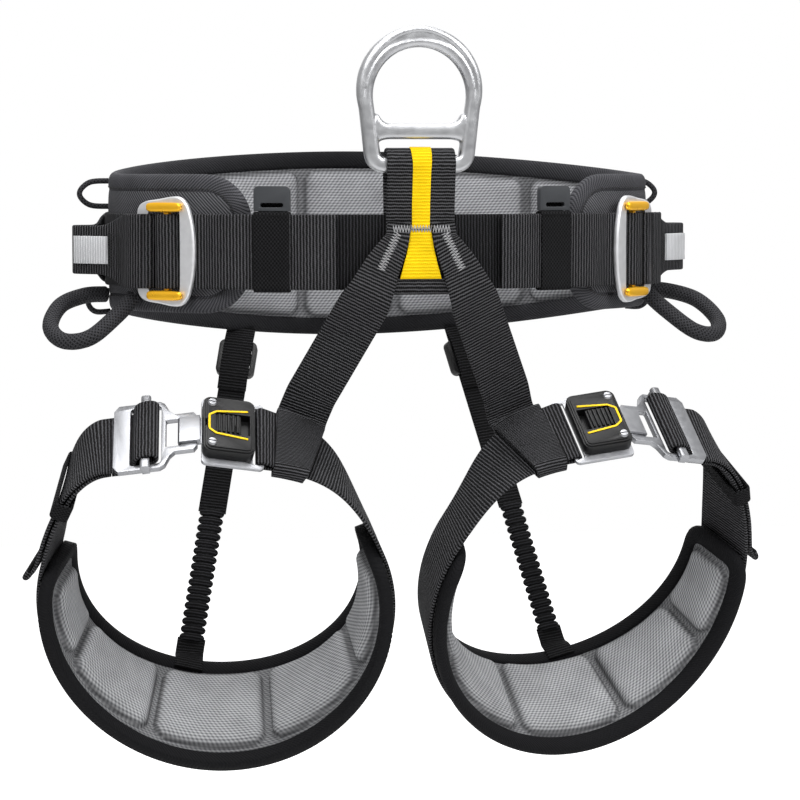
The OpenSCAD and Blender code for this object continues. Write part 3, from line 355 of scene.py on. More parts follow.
def lining(name, place, pace, turn, edge, marks, full):
    """Foam pad on a curved seat: the thickness of panel_rise on its inner side, and a flat back on the shell.
    Its edge is tucked under the tape. marks are the angles of its sewn channels."""
    half = edge(turn, TUCK)
    across = half[:, None] * np.linspace(-1, 1, LINING_COLS)
    u = length_along(turn, pace)
    at_marks = np.interp(marks, turn, u)
    rise, shade_and_dark_tape = panel_rise(u[:, None] + 0 * across, across, half[:, None], at_marks, full)
    obj = quilt(name, place, turn, u, half, across, FOAM_SEAT - rise, FOAM_SEAT)
    # Painted shade: the channels, the feet of the shoulders and the hidden back are darkened in colour where
    # shade falls.
    keep_shade_and_dark_tape(obj, np.hstack([shade_and_dark_tape, np.full((len(turn), 2), 0.55)]))
    held = np.ones((len(turn), LINING_COLS + 2), bool)
    held[1:-1, 1:LINING_COLS - 1] = rise[1:-1, 1:-1] < SEWN_T + 0.35 * (full - SEWN_T)
    swell(obj, held.ravel(), SWELL_REACH)
    return obj


def dress(obj, material, body, slot, *nodes):
    """Gives a piece its material and the body it rides on, and hides the CAD nodes that it stands for. slot
    is not used.
    """
    obj.data.materials.append(material)
    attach(obj, body)
    if nodes:
        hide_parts(*nodes)
    return obj


LINING_COLS, SWELL_REACH, SWELL_FRAMES = 75, 0.0022, 20
BELT_CHANNELS = np.array([66.0, 100.0, 136.0, 169.0])
belt_first = WING_END + PAD_INSET / belt_pace(WING_END)
belt_marks = np.r_[belt_first, BELT_CHANNELS, 360 - BELT_CHANNELS[::-1], 360 - belt_first]
belt_turn = np.linspace(belt_first, 360 - belt_first, 561)
# A darker copy of the leg pads' pale mesh: painted shade for the lining inside the belt, with painted shade
# in its channels too.
shaded_belt_mesh = woven("grey polyester spacer mesh", spacer_mesh, "#ACADB0", "#59595C", 0.9, 0.35, "#333335")
belt_lining = lining("belt_lining", belt_pad, belt_pace, belt_turn, belt_edge, belt_marks, BELT_FOAM)
dress(belt_lining, shaded_belt_mesh, "belt", "foam_mesh", "belt_foam")

# Belt shell: a charcoal stretch polyester cover on the outside of the foam, glued and sewn at its edge.
# It shows on the wings in front and all round the back, with a shallow groove where the edge tape begins.


def twill(tree, u, v):
    """Twill: diagonal ridges 1.5 mm apart over a fine thread, drawn a little coarser than the true cloth."""
    return maths(tree, "MULTIPLY_ADD", wave(tree, u, v, 1.1, -3.0), 0.35, wave(tree, u, v, 2.2, 2.2))


def cover(name, place, pace, turn, edge):
    """Fabric skin of a pad: its outer face full in the middle and drawn in at the edge and at both ends,
    off = 0.9 (1 - v^10) - 0.7 along its middle, and a flat inner face on the foam."""
    half = edge(turn, TUCK)
    v = np.sin(np.linspace(-np.pi / 2, np.pi / 2, 25))
    u = length_along(turn, pace)
    off = 0.9 * (1 - v ** 10) * ease(np.minimum(u, u[-1] - u)[:, None] / 4 + 0.3) - 0.7
    return quilt(name, place, turn, u, half, half[:, None] * v, off, -SHELL_T)


charcoal = woven("charcoal stretch twill", twill, "#6C6C70", "#29292B", 0.82, 0.3)
belt_cover = cover("belt_cover", belt_pad, belt_pace, belt_turn, belt_edge)
dress(belt_cover, charcoal, "belt", "shell_twill", "belt_shell")

# Belt edging: a twill tape folded over the edge of foam and shell and sewn down all round.
# It is thick and soft, full at its outer fold and drawn in where the seam holds it.
BIND_T, SEAM_IN, SEAM_SUNK = SHELL_T + CLEAR + SEWN_T + 1.6, 2.2, 0.15
STITCH_L, STITCH_EVERY, STITCH_T = 2.6, 3.6, 0.8


def even(rows, step, smooth=2, closed=False):
    """Rows of place and other values read off every step mm along their line, smoothed by (1, 2, 1) / 4."""
    line = np.vstack([rows, rows[:1]]) if closed else rows
    length = np.r_[0, np.cumsum(np.linalg.norm(np.diff(line[:, :3], axis=0), axis=1))]
    count = max(int(round(length[-1] / step)), 3)
    at = np.linspace(0, length[-1], count + 1)
    read = np.stack([np.interp(at, length, line[:, k]) for k in range(line.shape[1])], 1)
    if closed:
        read, at = read[:-1], at[:-1]
    for _ in range(smooth):
        if closed:
            read = (np.roll(read, 1, 0) + 2 * read + np.roll(read, -1, 0)) / 4
        else:
            read[1:-1] = (read[:-2] + 2 * read[1:-1] + read[2:]) / 4
    return read, at


def edging(name, place, face_at, turn, edge, black):
    """Folded tape round a pad: a section carried along the closed line at edge(turn), low side and high side.
    Its half thickness falls as sqrt(1 - s^4), s from 0 at the seam to 1 at the fold.
    The last argument gives the share of dark colour at each turn: painted shade towards the belt's back,
    where the tape lies in shade, and the leg pads' black tape all round; the rest is the wings' charcoal."""
    half, end = edge(turn, BIND_W / 2), np.linspace(-0.7, 0.7, 5)
    low, high = np.stack([turn, -half], 1), np.stack([turn, half], 1)
    far = np.stack([np.full(5, turn[-1]), half[-1] * end], 1)
    near = np.stack([np.full(5, turn[0]), half[0] * end[::-1]], 1)
    rim = np.concatenate([low, far, high[::-1], near])
    line = place(rim[:, 0], np.full(len(rim), -BIND_T / 2 + 0.2), rim[:, 1])
    # Its last column is the dark share: painted shade on the belt's rear edging, black tape on the leg
    # edging.
    rows, at = even(np.hstack([line, face_at(rim[:, 0]), black(rim[:, :1])]), 2.5, 4, closed=True)
    path, face = rows[:, :3], unit(rows[:, 3:6])
    ahead = unit(np.roll(path, -1, 0) - np.roll(path, 1, 0))
    out = unit(np.cross(ahead, face))
    s = np.sin(np.linspace(0, np.pi / 2, 9))
    thick = 0.5 * np.sqrt(1 - s ** 4) * np.where(s < 0.12, 0.8, np.where(s < 0.3, 0.95, 1.0))
    x, y = np.r_[s, s[-2::-1]] - 0.5, np.r_[thick, -thick[-2::-1]]
    points = path[:, None] + BIND_W * x[:, None] * out[:, None] + BIND_T * y[:, None] * face[:, None]
    weave = np.stack(np.broadcast_arrays(at[:, None], (BIND_W * x + 3 * y)[None]), -1)
    obj = skin(name, points, weave, closed=True)
    keep_shade_and_dark_tape(obj, np.repeat(rows[:, 6], len(x)))
    return obj, path, out, face


def turns(first, last, middle):
    """Angles along a pad, close together in its rounded ends and even between them."""
    f = np.linspace(0, 1, 24) ** 2
    end = (last - first) * 0.06
    return np.r_[first + end * f, np.linspace(first + end, last - end, middle)[1:-1], last - end * f[::-1]]


def beads(name, at, ahead, up, length, thick):
    """Sewn stitches: at each place an ellipsoid of that length along ahead, half sunk in the cloth."""
    out = np.cross(ahead, up)
    lat, lon = np.meshgrid(np.linspace(0, np.pi, 6), np.linspace(0, 2 * np.pi, 7)[:-1], indexing="ij")
    ball = np.stack([np.cos(lat), np.sin(lat) * np.cos(lon), np.sin(lat) * np.sin(lon)], -1)
    bead = ball.reshape(-1, 3) * [length / 2, thick / 2, thick / 2]
    turned = bead[:, :1] * ahead[:, None] + bead[:, 1:2] * out[:, None] + bead[:, 2:] * up[:, None]
    faces = grid_faces(6, 6, around=True)
    faces = (faces[None] + (np.arange(len(at)) * len(bead))[:, None, None]).reshape(-1, 4)
    return piece(name, at[:, None] + turned, faces)


def stitches(name, path, across, face, length, every, thick):
    """Row of stitches of that length along the line of path, one to each stretch of every mm."""
    rows, _ = even(np.hstack([path, across, face]), every, 1)
    up = unit(rows[:, 6:9])
    return beads(name, rows[:, :3], np.cross(up, unit(rows[:, 3:6])), up, length, thick)


def thread(name, pale):
    """Bonded polyester sewing thread: a smooth twisted yarn with a slight gloss."""
    material, tree, shader = finish(name, Roughness=0.55)
    shade = spread(tree, mottle(tree, 900.0, 2.0), 0.6, 1.1)
    feed(tree, shader, Base_Color=mixed(tree, 1.0, linear(pale), shade, "MULTIPLY"))
    return material


def bind(kind, hand, body, node, *shape):
    """Dressed edging of a pad, and the row of stitches that holds it down."""
    tape, rim, rim_out, rim_face = edging(kind + "_edging" + hand, *shape)
    dress(tape, edge_twill, body, "binding_tape", node)
    line = rim - (BIND_W / 2 - SEAM_IN) * rim_out + (BIND_T / 2 - SEAM_SUNK) * rim_face
    name = kind + "_edging_seam" + hand
    seam = stitches(name, line, rim_out, rim_face, STITCH_L, STITCH_EVERY, STITCH_T)
    dress(seam, dark_thread, body, "binding_tape")


# The darkest colour serves as painted shade on the belt's rear edging and as the black of the leg pads' tape.
edge_twill = woven("twill edging tape", twill, "#56565A", "#2E2E31", 0.8, 0.3, "#161618")
dark_thread = thread("black sewing thread", "#141415")
rim_first = WING_END + BIND_W / 2 / belt_pace(WING_END)
belt_rim_turn = turns(rim_first, 360 - rim_first, 160)
# The belt's edging darkens towards the back: painted shade.
bind("belt", "", "belt", "belt_binding", belt_pad, belt_out, belt_rim_turn, belt_edge, to_back)

# Webbing of the belt: flat woven polyester, 45 mm wide, with a rib to each weft thread.
# One length runs across the belly under the tails, another round the back between the two hip loops.
WEB_W, WEB_T, LAYER = 45.0, 2.2, 2.5


def ribs(tree, u, v):
    """Webbing: ribs across its width 1.95 mm apart, a little uneven, over fine warp threads along it.
    A rib is narrow on top, (1 + sin)^2 / 2 - 1, so that the groove beside it is wide and dark."""
    weave = add(tree, "UVMap", uv_map="weave")
    wander = add(tree, "TexNoise", {"Vector": weave, "Scale": 0.35, "Detail": 2.0})
    pushed = maths(tree, "MULTIPLY_ADD", wander, 0.9, u)
    rib = maths(tree, "ADD", wave(tree, pushed, v, 1.95, 400.0), 1.0)
    rib = maths(tree, "MULTIPLY_ADD", maths(tree, "MULTIPLY", rib, rib), 0.5, -1.0)
    return maths(tree, "MULTIPLY_ADD", wave(tree, u, v, 3.4, 1.3), 0.2, rib)


def ribbon(name, rows, thick=WEB_T, step=2.0, smooth=2, closed=False):
    """Webbing along rows of place, width direction and width: a flat section carried along the line.
    Its faces are thick apart over |x| < w/2 - thick/2, and a half circle of thick/2 rounds each edge."""
    read, at = even(rows, 1.0, smooth * 3, closed)
    take = np.arange(0, len(at), max(int(step), 1))
    if not closed:
        take = np.unique(np.r_[take, len(at) - 1])
    read, at = read[take], at[take]
    path, wide, width = read[:, :3], read[:, 3:6], read[:, 6]
    ahead = unit(np.roll(path, -1, 0) - np.roll(path, 1, 0) if closed else np.gradient(path, axis=0))
    face = unit(np.cross(ahead, wide))
    side = np.cross(face, ahead)
    bend = np.linspace(-np.pi / 2, np.pi / 2, 7)
    flat = np.array([0.66, 0.33, 0.0, -0.33, -0.66])
    r = thick / 2
    edge_x, edge_y = r * np.cos(bend), r * np.sin(bend)
    fixed = np.r_[edge_x, 0 * flat, -edge_x, 0 * flat]
    share = np.r_[0 * bend + 1, flat, 0 * bend - 1, -flat]
    high = np.r_[edge_y, 0 * flat + r, -edge_y, 0 * flat - r]
    x = share[None] * (width[:, None] / 2 - r) + fixed[None]
    points = path[:, None] + x[..., None] * side[:, None] + high[None, :, None] * face[:, None]
    return skin(name, points, np.stack(np.broadcast_arrays(at[:, None], x), -1), closed)


def rows_of(path, wide, width):
    """Rows of place, width direction and width, each given once or for every point of the path."""
    n = len(path)
    wide, width = np.broadcast_to(wide, (n, 3)), np.broadcast_to(np.reshape(width, (-1, 1)), (n, 1))
    return np.hstack([path, wide, width])


def on_belt(t, layers):
    """Centre of webbing on the belt: layer 0 on the shell, layer 1 on top of it."""
    return belt(t, CLEAR + WEB_T / 2 + layers * LAYER, 0.0)


BUCKLE_T, BUCKLE_L, LATERAL_FROM = 55.0, 42.0, 106.0
TAIL_JOIN = -BUCKLE_L / 2 - 3
join_t = BUCKLE_T + TAIL_JOIN / belt_pace(BUCKLE_T)
black_webbing = woven("black polyester webbing", ribs, "#59595C", "#010101", 0.7, 0.8)
# A darker copy of the webbing: painted shade for the belly layer, which lies in shade under the tails.
shaded_belly_web = woven("black belly webbing", ribs, "#343437", "#010101", 0.75, 0.8)
belly_t = np.linspace(-join_t + 0.3, join_t - 0.3, 90)
back_t = np.linspace(LATERAL_FROM + 1, 359 - LATERAL_FROM, 120)
for name, node, turn, cloth in (("belly_webbing_woven", "belly_webbing", belly_t, shaded_belly_web),
                                ("rear_webbing_woven", "rear_webbing", back_t, black_webbing)):
    dress(ribbon(name, rows_of(on_belt(turn, 0), UP, WEB_W)), cloth, "belt", "webbing", node)

# Waist buckles: on each hip a pressed satin steel plate with a wide rounded land towards the front.
# A gold anodised bar with two rounded ends slides in its window, and the belly webbing turns round it.
HANDS = (("left", 1), ("right", -1))
PLATE_T, BAR_L, BAR_T, BAR_TRAVEL, LAND_X, WINDOW_L, WINDOW_H = 3.6, 6.0, 4.4, 2.5, -10.0, 23.0, 26.0
PLATE_Z = LAYER + WEB_T / 2 + CLEAR
BAR_Z = PLATE_Z + PLATE_T / 2
TURN_R = BAR_T / 2 + CLEAR + WEB_T / 2
TURN_X = BAR_L / 2 - BAR_T / 2 + BAR_TRAVEL + 0.4


def belt_along(t):
    """Direction along the belt at the angle t."""
    a = np.radians(t)
    return unit(np.array([BELT_HALF_W * np.cos(a), BELT_HALF_D * np.sin(a), 0.0]))


def metal(name, bright, dull, rough, grain, bare=1.0):
    """Worked metal: a soft grain of roughness from rough to rough + 0.14, and a faint mottle in its colour.
    grain is the size of the mottle in millimetres, drawn larger than the true one so that it shows.
    bare is the share of bare metal, less than 1 under a dyed and sealed anodic layer."""
    material, tree, shader = finish(name, Metallic=bare)
    grains = mottle(tree, 1000.0 / grain, 4.0, 0.6)
    feed(tree, shader, Base_Color=mixed(tree, grains, linear(dull), linear(bright)),
         Roughness=spread(tree, grains, rough, rough + 0.14), Normal=relief(tree, grains, 0.05, 0.3))
    return material


def curve_through(points, count):
    """Catmull-Rom curve through points, count steps to a span."""
    p = np.vstack([points[:1], points, points[-1:]])
    s = np.linspace(0, 1, count, endpoint=False)[None, :, None]
    b, c = p[1:-2, None], p[2:-1, None]
    h1, h2 = b + (c - p[:-3, None]) / 6, c - (p[3:, None] - b) / 6
    g = 1 - s
    fine = g ** 3 * b + 3 * g * g * s * h1 + 3 * g * s * s * h2 + s ** 3 * c
    return np.vstack([fine.reshape(-1, points.shape[1]), points[-1:]])


def in_buckle(x, y, z):
    """Point in the waist buckle's frame: x along the belt, y up and z out from the first layer of webbing."""
    x, y, z = (np.asarray(v, float)[..., None] for v in (x, y, z))
    return waist_o + x * waist_x + y * UP + z * waist_z


def window_plate(name, outline, sign, round_r=1.3):
    """Plate with a window: at each angle about the window's middle a section from its edge to the outline's,
    flat on both faces, with quarter circles of round_r at the outer edges and half that at the window's."""
    mid = LAND_X + WINDOW_L / 2
    angle = np.linspace(-np.pi, np.pi, 360, endpoint=False)
    way = np.stack([np.cos(angle), np.sin(angle)], 1)
    reach = np.hypot(outline[:, 0] - mid, outline[:, 1])
    outer = np.interp(angle, np.arctan2(outline[:, 1], outline[:, 0] - mid), reach, period=2 * np.pi)
    inner = np.sum((np.abs(way) / [WINDOW_L / 2, WINDOW_H]) ** 12, axis=1) ** (-1 / 12)
    bend = np.linspace(0, np.pi / 2, 7)
    edge_r, flat = np.array([round_r, round_r / 2])[:, None], PLATE_T / 2
    back = np.hstack([edge_r * (1 - np.cos(bend)), edge_r + 0.4])
    rise = np.hstack([flat - edge_r + edge_r * np.sin(bend), [[flat], [flat]]])
    outside, inside = (np.r_[side[::-1], side] for side in back)
    radius = np.hstack([outer[:, None] - outside, inner[:, None] + inside])
    high = np.r_[-rise[0][::-1], rise[0], rise[1][::-1], -rise[1]] + BAR_Z
    points = in_buckle(mid + radius * way[:, :1], radius * way[:, 1:], np.broadcast_to(high, radius.shape))
    return skin(name, points * [sign, 1, 1], closed=True)


def bent(wave_at, power):
    """A sine or cosine to that power with its sign kept."""
    return np.sign(wave_at) * np.abs(wave_at) ** power


def rounded_blocks(name, blocks, sign):
    """Rounded blocks, each from its centre, half sizes and two powers e and n: a superellipsoid with
    x = sin(lat)^e and y, z = cos(lat)^e cos(lon)^n, cos(lat)^e sin(lon)^n."""
    lats, lons = 25, 48
    each = lats * lons
    up, around = np.linspace(-1.5, 1.5, lats), np.linspace(-np.pi, np.pi, lons + 1)[:-1]
    lat, lon = np.meshgrid(up, around, indexing="ij")
    points, faces, caps = [], [], []
    for k, (centre, half, (e, n)) in enumerate(blocks):
        ring = bent(np.cos(lat), e)
        shape = np.stack([bent(np.sin(lat), e), ring * bent(np.cos(lon), n), ring * bent(np.sin(lon), n)])
        points.append(in_buckle(*(np.reshape(centre, (3, 1, 1)) + np.reshape(half, (3, 1, 1)) * shape)))
        faces.append(grid_faces(lats, lons, around=True) + k * each)
        caps += [range(k * each, k * each + lons), range((k + 1) * each - lons, (k + 1) * each)]
    return piece(name, np.stack(points) * [sign, 1, 1], np.vstack(faces), caps)


waist_o, waist_x, waist_z = on_belt(BUCKLE_T, 0), belt_along(BUCKLE_T), belt_out(BUCKLE_T)
satin = metal("satin plated steel", "#EDEDEF", "#DCDDDF", 0.45, 3.0)
gold = metal("gold anodised aluminium", "#FFC52C", "#FBB81C", 0.24, 14.0, 0.6)
half_plate = curve_through(np.array([
    [21.5, 0], [21.5, 19], [20.4, 26.5], [15.5, 30], [5, 31.6], [-4, 33], [-10.5, 32.4], [-15.4, 27.8],
    [-18.3, 19], [-20, 9.5], [-20.5, 0]]), 12)
plate_outline = np.vstack([half_plate, half_plate[-2:0:-1] * [1, -1]])
end_z = PLATE_Z + PLATE_T + 1.9
bar_blocks = [((0, 0, BAR_Z), (BAR_L / 2, WINDOW_H - 0.6, BAR_T / 2), (0.7, 0.3))]
for y in (-1, 1):
    bar_blocks += [((0, y * (WINDOW_H - 1.4), BAR_Z + 1.6), (BAR_L / 2 + 0.3, 1.1, 2.6), (0.3, 0.3)),
                   ((0, y * (WINDOW_H + 0.6), end_z), (12.4, 2.9, 2.1), (0.4, 0.8))]
for hand, sign in HANDS:
    plate = window_plate("buckle_plate_" + hand, plate_outline, sign)
    dress(plate, satin, "belt", "polished_steel", "waist_plate_" + hand)
    slide = rounded_blocks("slide_bar_" + hand, bar_blocks, sign)
    dress(slide, gold, "waist_slider_" + hand, "gold_anodised", "waist_slider_" + hand)

# Belly tails: each end of the belly webbing comes back over the sliding bar, a double layer across the front.
# The loose end stops short of the ring, heat cut square, and springs off the layer below by a little.
TAIL_END, KEEPER_ANGLE, KEEPER_L, SLACK_BEFORE, SLACK_AFTER = 16.7, 30.0, 22.0, 2.0, 2.8


def adjuster_roll(start, high):
    """Webbing in an adjuster, as x along and z out: in under the land, round the bar's circle, and out."""
    turn, top = np.radians(np.linspace(-90, 90, 9)), high + TURN_R
    return np.concatenate([
        [[start, 0], [LAND_X, 0], [LAND_X + 5, 0.9], [-BAR_L / 2, high - TURN_R]],
        np.stack([TURN_X + TURN_R * np.cos(turn), high + TURN_R * np.sin(turn)], 1),
        [[-1, top], [-4.4, top - 1.4], [-6.4, high], [-8, LAYER + 1], [LAND_X - 0.6, LAYER], [start, LAYER]]])


def mirrored(rows, hand):
    """Rows of the wearer's left side, or with hand -1 their mirror on the right."""
    flip = np.ones(rows.shape[1])
    flip[[0, 3]] = hand
    return rows * flip


roll = adjuster_roll(TAIL_JOIN + 4, BAR_Z)
tail_t = np.linspace(join_t, TAIL_END, 60)
held_by = KEEPER_L / 2 / belt_pace(KEEPER_ANGLE) + 0.6
before = np.clip((tail_t - KEEPER_ANGLE - held_by) / (join_t - KEEPER_ANGLE - held_by), 0, 1)
after = np.clip((KEEPER_ANGLE - held_by - tail_t) / (KEEPER_ANGLE - held_by - TAIL_END), 0, 1)
slack = SLACK_BEFORE * np.sin(np.pi * before) + SLACK_AFTER * np.sin(0.75 * np.pi * after)
tail_path = np.concatenate([
    on_belt(np.array([join_t]), 0), in_buckle(roll[:, 0], 0, roll[:, 1]), on_belt(tail_t, 1 + slack / LAYER)])
tail_rows = rows_of(tail_path, UP, WEB_W)
for hand, sign in HANDS:
    tail = ribbon("belly_tail_woven_" + hand, mirrored(tail_rows, sign), smooth=1, step=1.5)
    dress(tail, black_webbing, "belt", "webbing", "belly_tail_" + hand)

# Hip loops: webbing sewn to the shell goes round the buckle's outer bar and stands out as a lanyard loop.
# The loop is folded narrow at its tip, sewn on the hip, and sheathed in a pale grey band.
LATERAL_PEAK, LATERAL_OUT, TIP_H, BAND_W, KNOT_STEPS = 86.0, 25.0, 30.0, 17.0, 8
BAND_FROM, BAND_TO, TACKS_AT, TACK_HALF, TACK_W = 12, 25, (8, 11), 11.0, 4.0
outer_bar_x = LAND_X + WINDOW_L
outer_bar_mid = (outer_bar_x + BUCKLE_L / 2 + 0.5) / 2
lateral_r = PLATE_T / 2 + CLEAR + WEB_T / 2
bar_front = BAR_Z + lateral_r
loop_route = np.array([
    [-15, 9.5], [-8, LATERAL_OUT * 0.62], [-2, LATERAL_OUT - 1], [1.5, LATERAL_OUT - 3],
    [2, LATERAL_OUT - 10], [4, 8.0], [10, 2 * LAYER - WEB_T / 2 + 0.4]])
loop_knots = np.vstack([
    in_buckle([outer_bar_mid + 5], 0, bar_front), belt(LATERAL_PEAK + loop_route[:, 0], loop_route[:, 1], 0),
    on_belt(np.array([LATERAL_FROM]), 1)])
standing = curve_through(loop_knots, KNOT_STEPS)
turn = np.radians(np.linspace(-90, -270, 9))
lateral_path = np.concatenate([
    on_belt(np.linspace(LATERAL_FROM, BUCKLE_T + 14, 20), 0),
    in_buckle([outer_bar_mid + 6, outer_bar_mid], 0, BAR_Z - lateral_r),
    in_buckle(outer_bar_x - CLEAR + 0.7 + lateral_r * np.cos(turn), 0, BAR_Z + lateral_r * np.sin(turn)),
    in_buckle([outer_bar_mid + 1], 0, bar_front), standing])
knot = np.arange(len(standing)) / KNOT_STEPS
narrow = ease((knot - 0.5) / 1.4) * ease((len(loop_knots) - 1 - knot) / 2.5)
lateral_w = np.r_[np.full(len(lateral_path) - len(standing), WEB_W), WEB_W + (TIP_H - WEB_W) * narrow]
lateral_rows = rows_of(lateral_path, UP, lateral_w)


def lifted(line, by):
    """A line round the hip moved outwards by that distance."""
    return line + by * unit(np.cross(np.gradient(line, axis=0), UP))


def tack(name, first, last, face, wide, every=1.7, thick=0.5):
    """Bar tack: thread sewn in zigzag, wide from side to side, from one point to another on a face."""
    first, last, face = (np.asarray(v, float) for v in (first, last, face))
    count = int(np.linalg.norm(last - first) / every * 2)
    side = unit(np.cross(face, last - first)) * wide / 2
    zig = np.linspace(first, last, count + 1) + np.where(np.arange(count + 1) % 2, 1, -1)[:, None] * side
    step = zig[1:] - zig[:-1]
    up = np.broadcast_to(unit(face), step.shape)
    return beads(name, (zig[1:] + zig[:-1]) / 2, unit(step), up, np.linalg.norm(step[0]) + thick, thick)


band_rows = rows_of(lifted(standing[BAND_FROM:BAND_TO], WEB_T / 2 + CLEAR + 0.4), UP, BAND_W)
wrap_start = in_buckle([14.0, 15.2, outer_bar_mid + 1], 0, bar_front + LAYER * np.array([0.8, 1, 1]))
wrap_rows = rows_of(np.vstack([wrap_start, lifted(standing[:5], LAYER)]), UP, WEB_W)
grey_tape = woven("pale grey woven band", ribs, "#E6E7E9", "#BFC0C3", 0.7, 0.3)
for hand, sign in HANDS:
    flip = np.array([sign, 1, 1])
    loop = ribbon("hip_loop_" + hand, mirrored(lateral_rows, sign), smooth=1, step=1.5)
    dress(loop, black_webbing, "belt", "webbing", "lateral_loop_" + hand)
    dress(ribbon("hip_wrap_" + hand, mirrored(wrap_rows, sign), step=1.0), black_webbing, "belt", "webbing")
    band = ribbon("hip_band_" + hand, mirrored(band_rows, sign), thick=0.8, step=1.0)
    dress(band, grey_tape, "belt", "grey_band", *(["lateral_bands"] if hand == "left" else []))
    for row, at in enumerate(TACKS_AT):
        face = np.cross(standing[at + 1] - standing[at - 1], UP) * flip
        place = standing[at] * flip + (WEB_T / 2 + 0.1) * unit(face)
        low, high = place - TACK_HALF * UP, place + TACK_HALF * UP
        sewn = tack("hip_tack_%d_%s" % (row, hand), low, high, face, TACK_W)
        dress(sewn, dark_thread, "belt", "webbing")

# Gear loops: a stiff tube in a black braided sheath stands out below the webbing on each hip, ends sewn on.
# Two thin cord loops behind each hip loop carry a tool holder.
GEAR_D, GEAR_OUT, TOOL_D = 10.0, 46.0, 3.5
gear_top = -WEB_W / 2 - GEAR_D / 2 - 3 * CLEAR
gear_route = np.array([
    [68, 0.4 * GEAR_D, gear_top], [68.5, 0.36 * GEAR_OUT, gear_top - 11],
    [70, 0.74 * GEAR_OUT, gear_top - 24], [74, 0.98 * GEAR_OUT, gear_top - 26],
    [79, GEAR_OUT, gear_top - 18], [84, 0.74 * GEAR_OUT, gear_top - 6],
    [88, 0.36 * GEAR_OUT, gear_top - 0.5], [91, 0.28 * GEAR_D, gear_top]])
tool_routes = {
    "upper": np.array([[101, 0, 42], [100, 12, 41], [99, 18, 34], [100, 12, 27], [102, 0, 26]]),
    "lower": np.array([[101, 0, -27], [100, 9, -28], [99, 13, -34], [100, 9, -40], [102, 0, -40]])}


def crossing(tree, u, v):
    """Braid: the higher of two crossing sets of strands, sin(u/2.4 + v/2.9) and sin(u/2.4 - v/2.9)."""
    return maths(tree, "MAXIMUM", wave(tree, u, v, 2.4, 2.9), wave(tree, u, v, 2.4, -2.9))


def tube(name, line, radius, square_to, sides=20):
    """Round tube: rings of that radius square to the line, turned by a direction that the line never takes.
    Its weave is folded at the back, v = radius |angle|, so that it has no seam."""
    rows, at = even(line, 1.0, 2)
    ahead = unit(np.gradient(rows, axis=0))
    a = unit(np.cross(square_to, ahead))
    b = np.cross(ahead, a)
    angle = np.linspace(-np.pi, np.pi, sides, endpoint=False)
    around = np.cos(angle)[:, None] * a[:, None] + np.sin(angle)[:, None] * b[:, None]
    points = rows[:, None] + radius * around
    return skin(name, points, np.stack(np.broadcast_arrays(at[:, None], radius * np.abs(angle)[None]), -1))


sheath = woven("black braided sheath", crossing, "#3E3E41", "#050505", 0.75, 0.5)
cord_cover = woven("black braided cord", crossing, "#38383B", "#090909", 0.8, 0.3)
gear_line = curve_through(belt(*gear_route.T), 10)
for hand, sign in HANDS:
    flip = np.array([sign, 1, 1])
    loop = tube("gear_loop_sheath_" + hand, gear_line * flip, GEAR_D / 2, unit(belt_out(76.0) + UP) * flip)
    dress(loop, sheath, "belt", "gear_sheath", "gear_loop_" + hand)
    side = np.array([sign * 0.2, 1.0, 0.0])
    for where, route in tool_routes.items():
        line = curve_through(belt(route[:, 0], route[:, 1] + 0.25 * TOOL_D, route[:, 2]), 10)
        cord = tube("tool_loop_" + where + "_" + hand, line * flip, TOOL_D / 2, side, 12)
        nodes = ["tool_loops"] if (where, hand) == ("upper", "left") else []
        dress(cord, cord_cover, "belt", "gear_sheath", *nodes)

# Keepers: a wide elastic in diamond weave holds each tail to the belly, with a moulded grey clip above it.
# The clip's slot takes an equipment holder, and an elastic tongue behind it keeps the clip down.
KEEPER_T = 1.3


def diamonds(tree, u, v):
    """Diamond elastic: raised points on a dark ground, half the sum of the waves u/2.6 +- v/2.2."""
    lean = maths(tree, "MULTIPLY", wave(tree, u, v, 2.6, 2.2), 0.5)
    return maths(tree, "MULTIPLY_ADD", wave(tree, u, v, 2.6, -2.2), 0.5, lean)


def hoop(half_h, back, front, round_r):
    """Closed rounded rectangle as out and up: half_h above and below, back to front, corners of round_r."""
    a = np.radians(np.linspace(0, 90, 5))
    c, s = round_r * np.cos(a), round_r * np.sin(a)
    near, far, top = front - round_r, back + round_r, half_h - round_r
    out = np.r_[near + c, far - c[::-1], far - c, near + c[::-1]]
    return out, np.r_[top + s, top + s[::-1], -top - s, -top - s[::-1]]


def moulded(name, base, rough):
    """Moulded nylon: even colour, a fine spark-eroded grain 0.8 mm wide and a soft gloss."""
    material, tree, shader = finish(name, Base_Color=linear(base), Roughness=rough, Specular_IOR_Level=0.3)
    grain = mottle(tree, 1250.0, 2.0)
    feed(tree, shader, Normal=relief(tree, grain, 0.15, 0.2),
         Roughness=spread(tree, grain, rough - 0.05, rough + 0.1))
    return material


def worked(name, node, material, body, slot, bevel):
    """A CAD node's own mesh, its loose triangles joined and its sharp edges rounded over bevel mm."""
    obj = shown(name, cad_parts[node].data.copy())
    form = bmesh.new()
    form.from_mesh(obj.data)
    bmesh.ops.remove_doubles(form, verts=form.verts, dist=2e-6)
    bmesh.ops.dissolve_limit(form, angle_limit=np.radians(0.6), verts=form.verts, edges=form.edges)
    form.to_mesh(obj.data)
    form.free()
    obj.data.materials.clear()
    obj.data.polygons.foreach_set("use_smooth", np.ones(len(obj.data.polygons), bool))
    round_over = obj.modifiers.new("edges", "BEVEL")
    round_over.width, round_over.segments, round_over.limit_method = bevel / 1000, 3, "ANGLE"
    round_over.angle_limit, round_over.harden_normals = np.radians(30.0), True
    return dress(obj, material, body, slot, node)


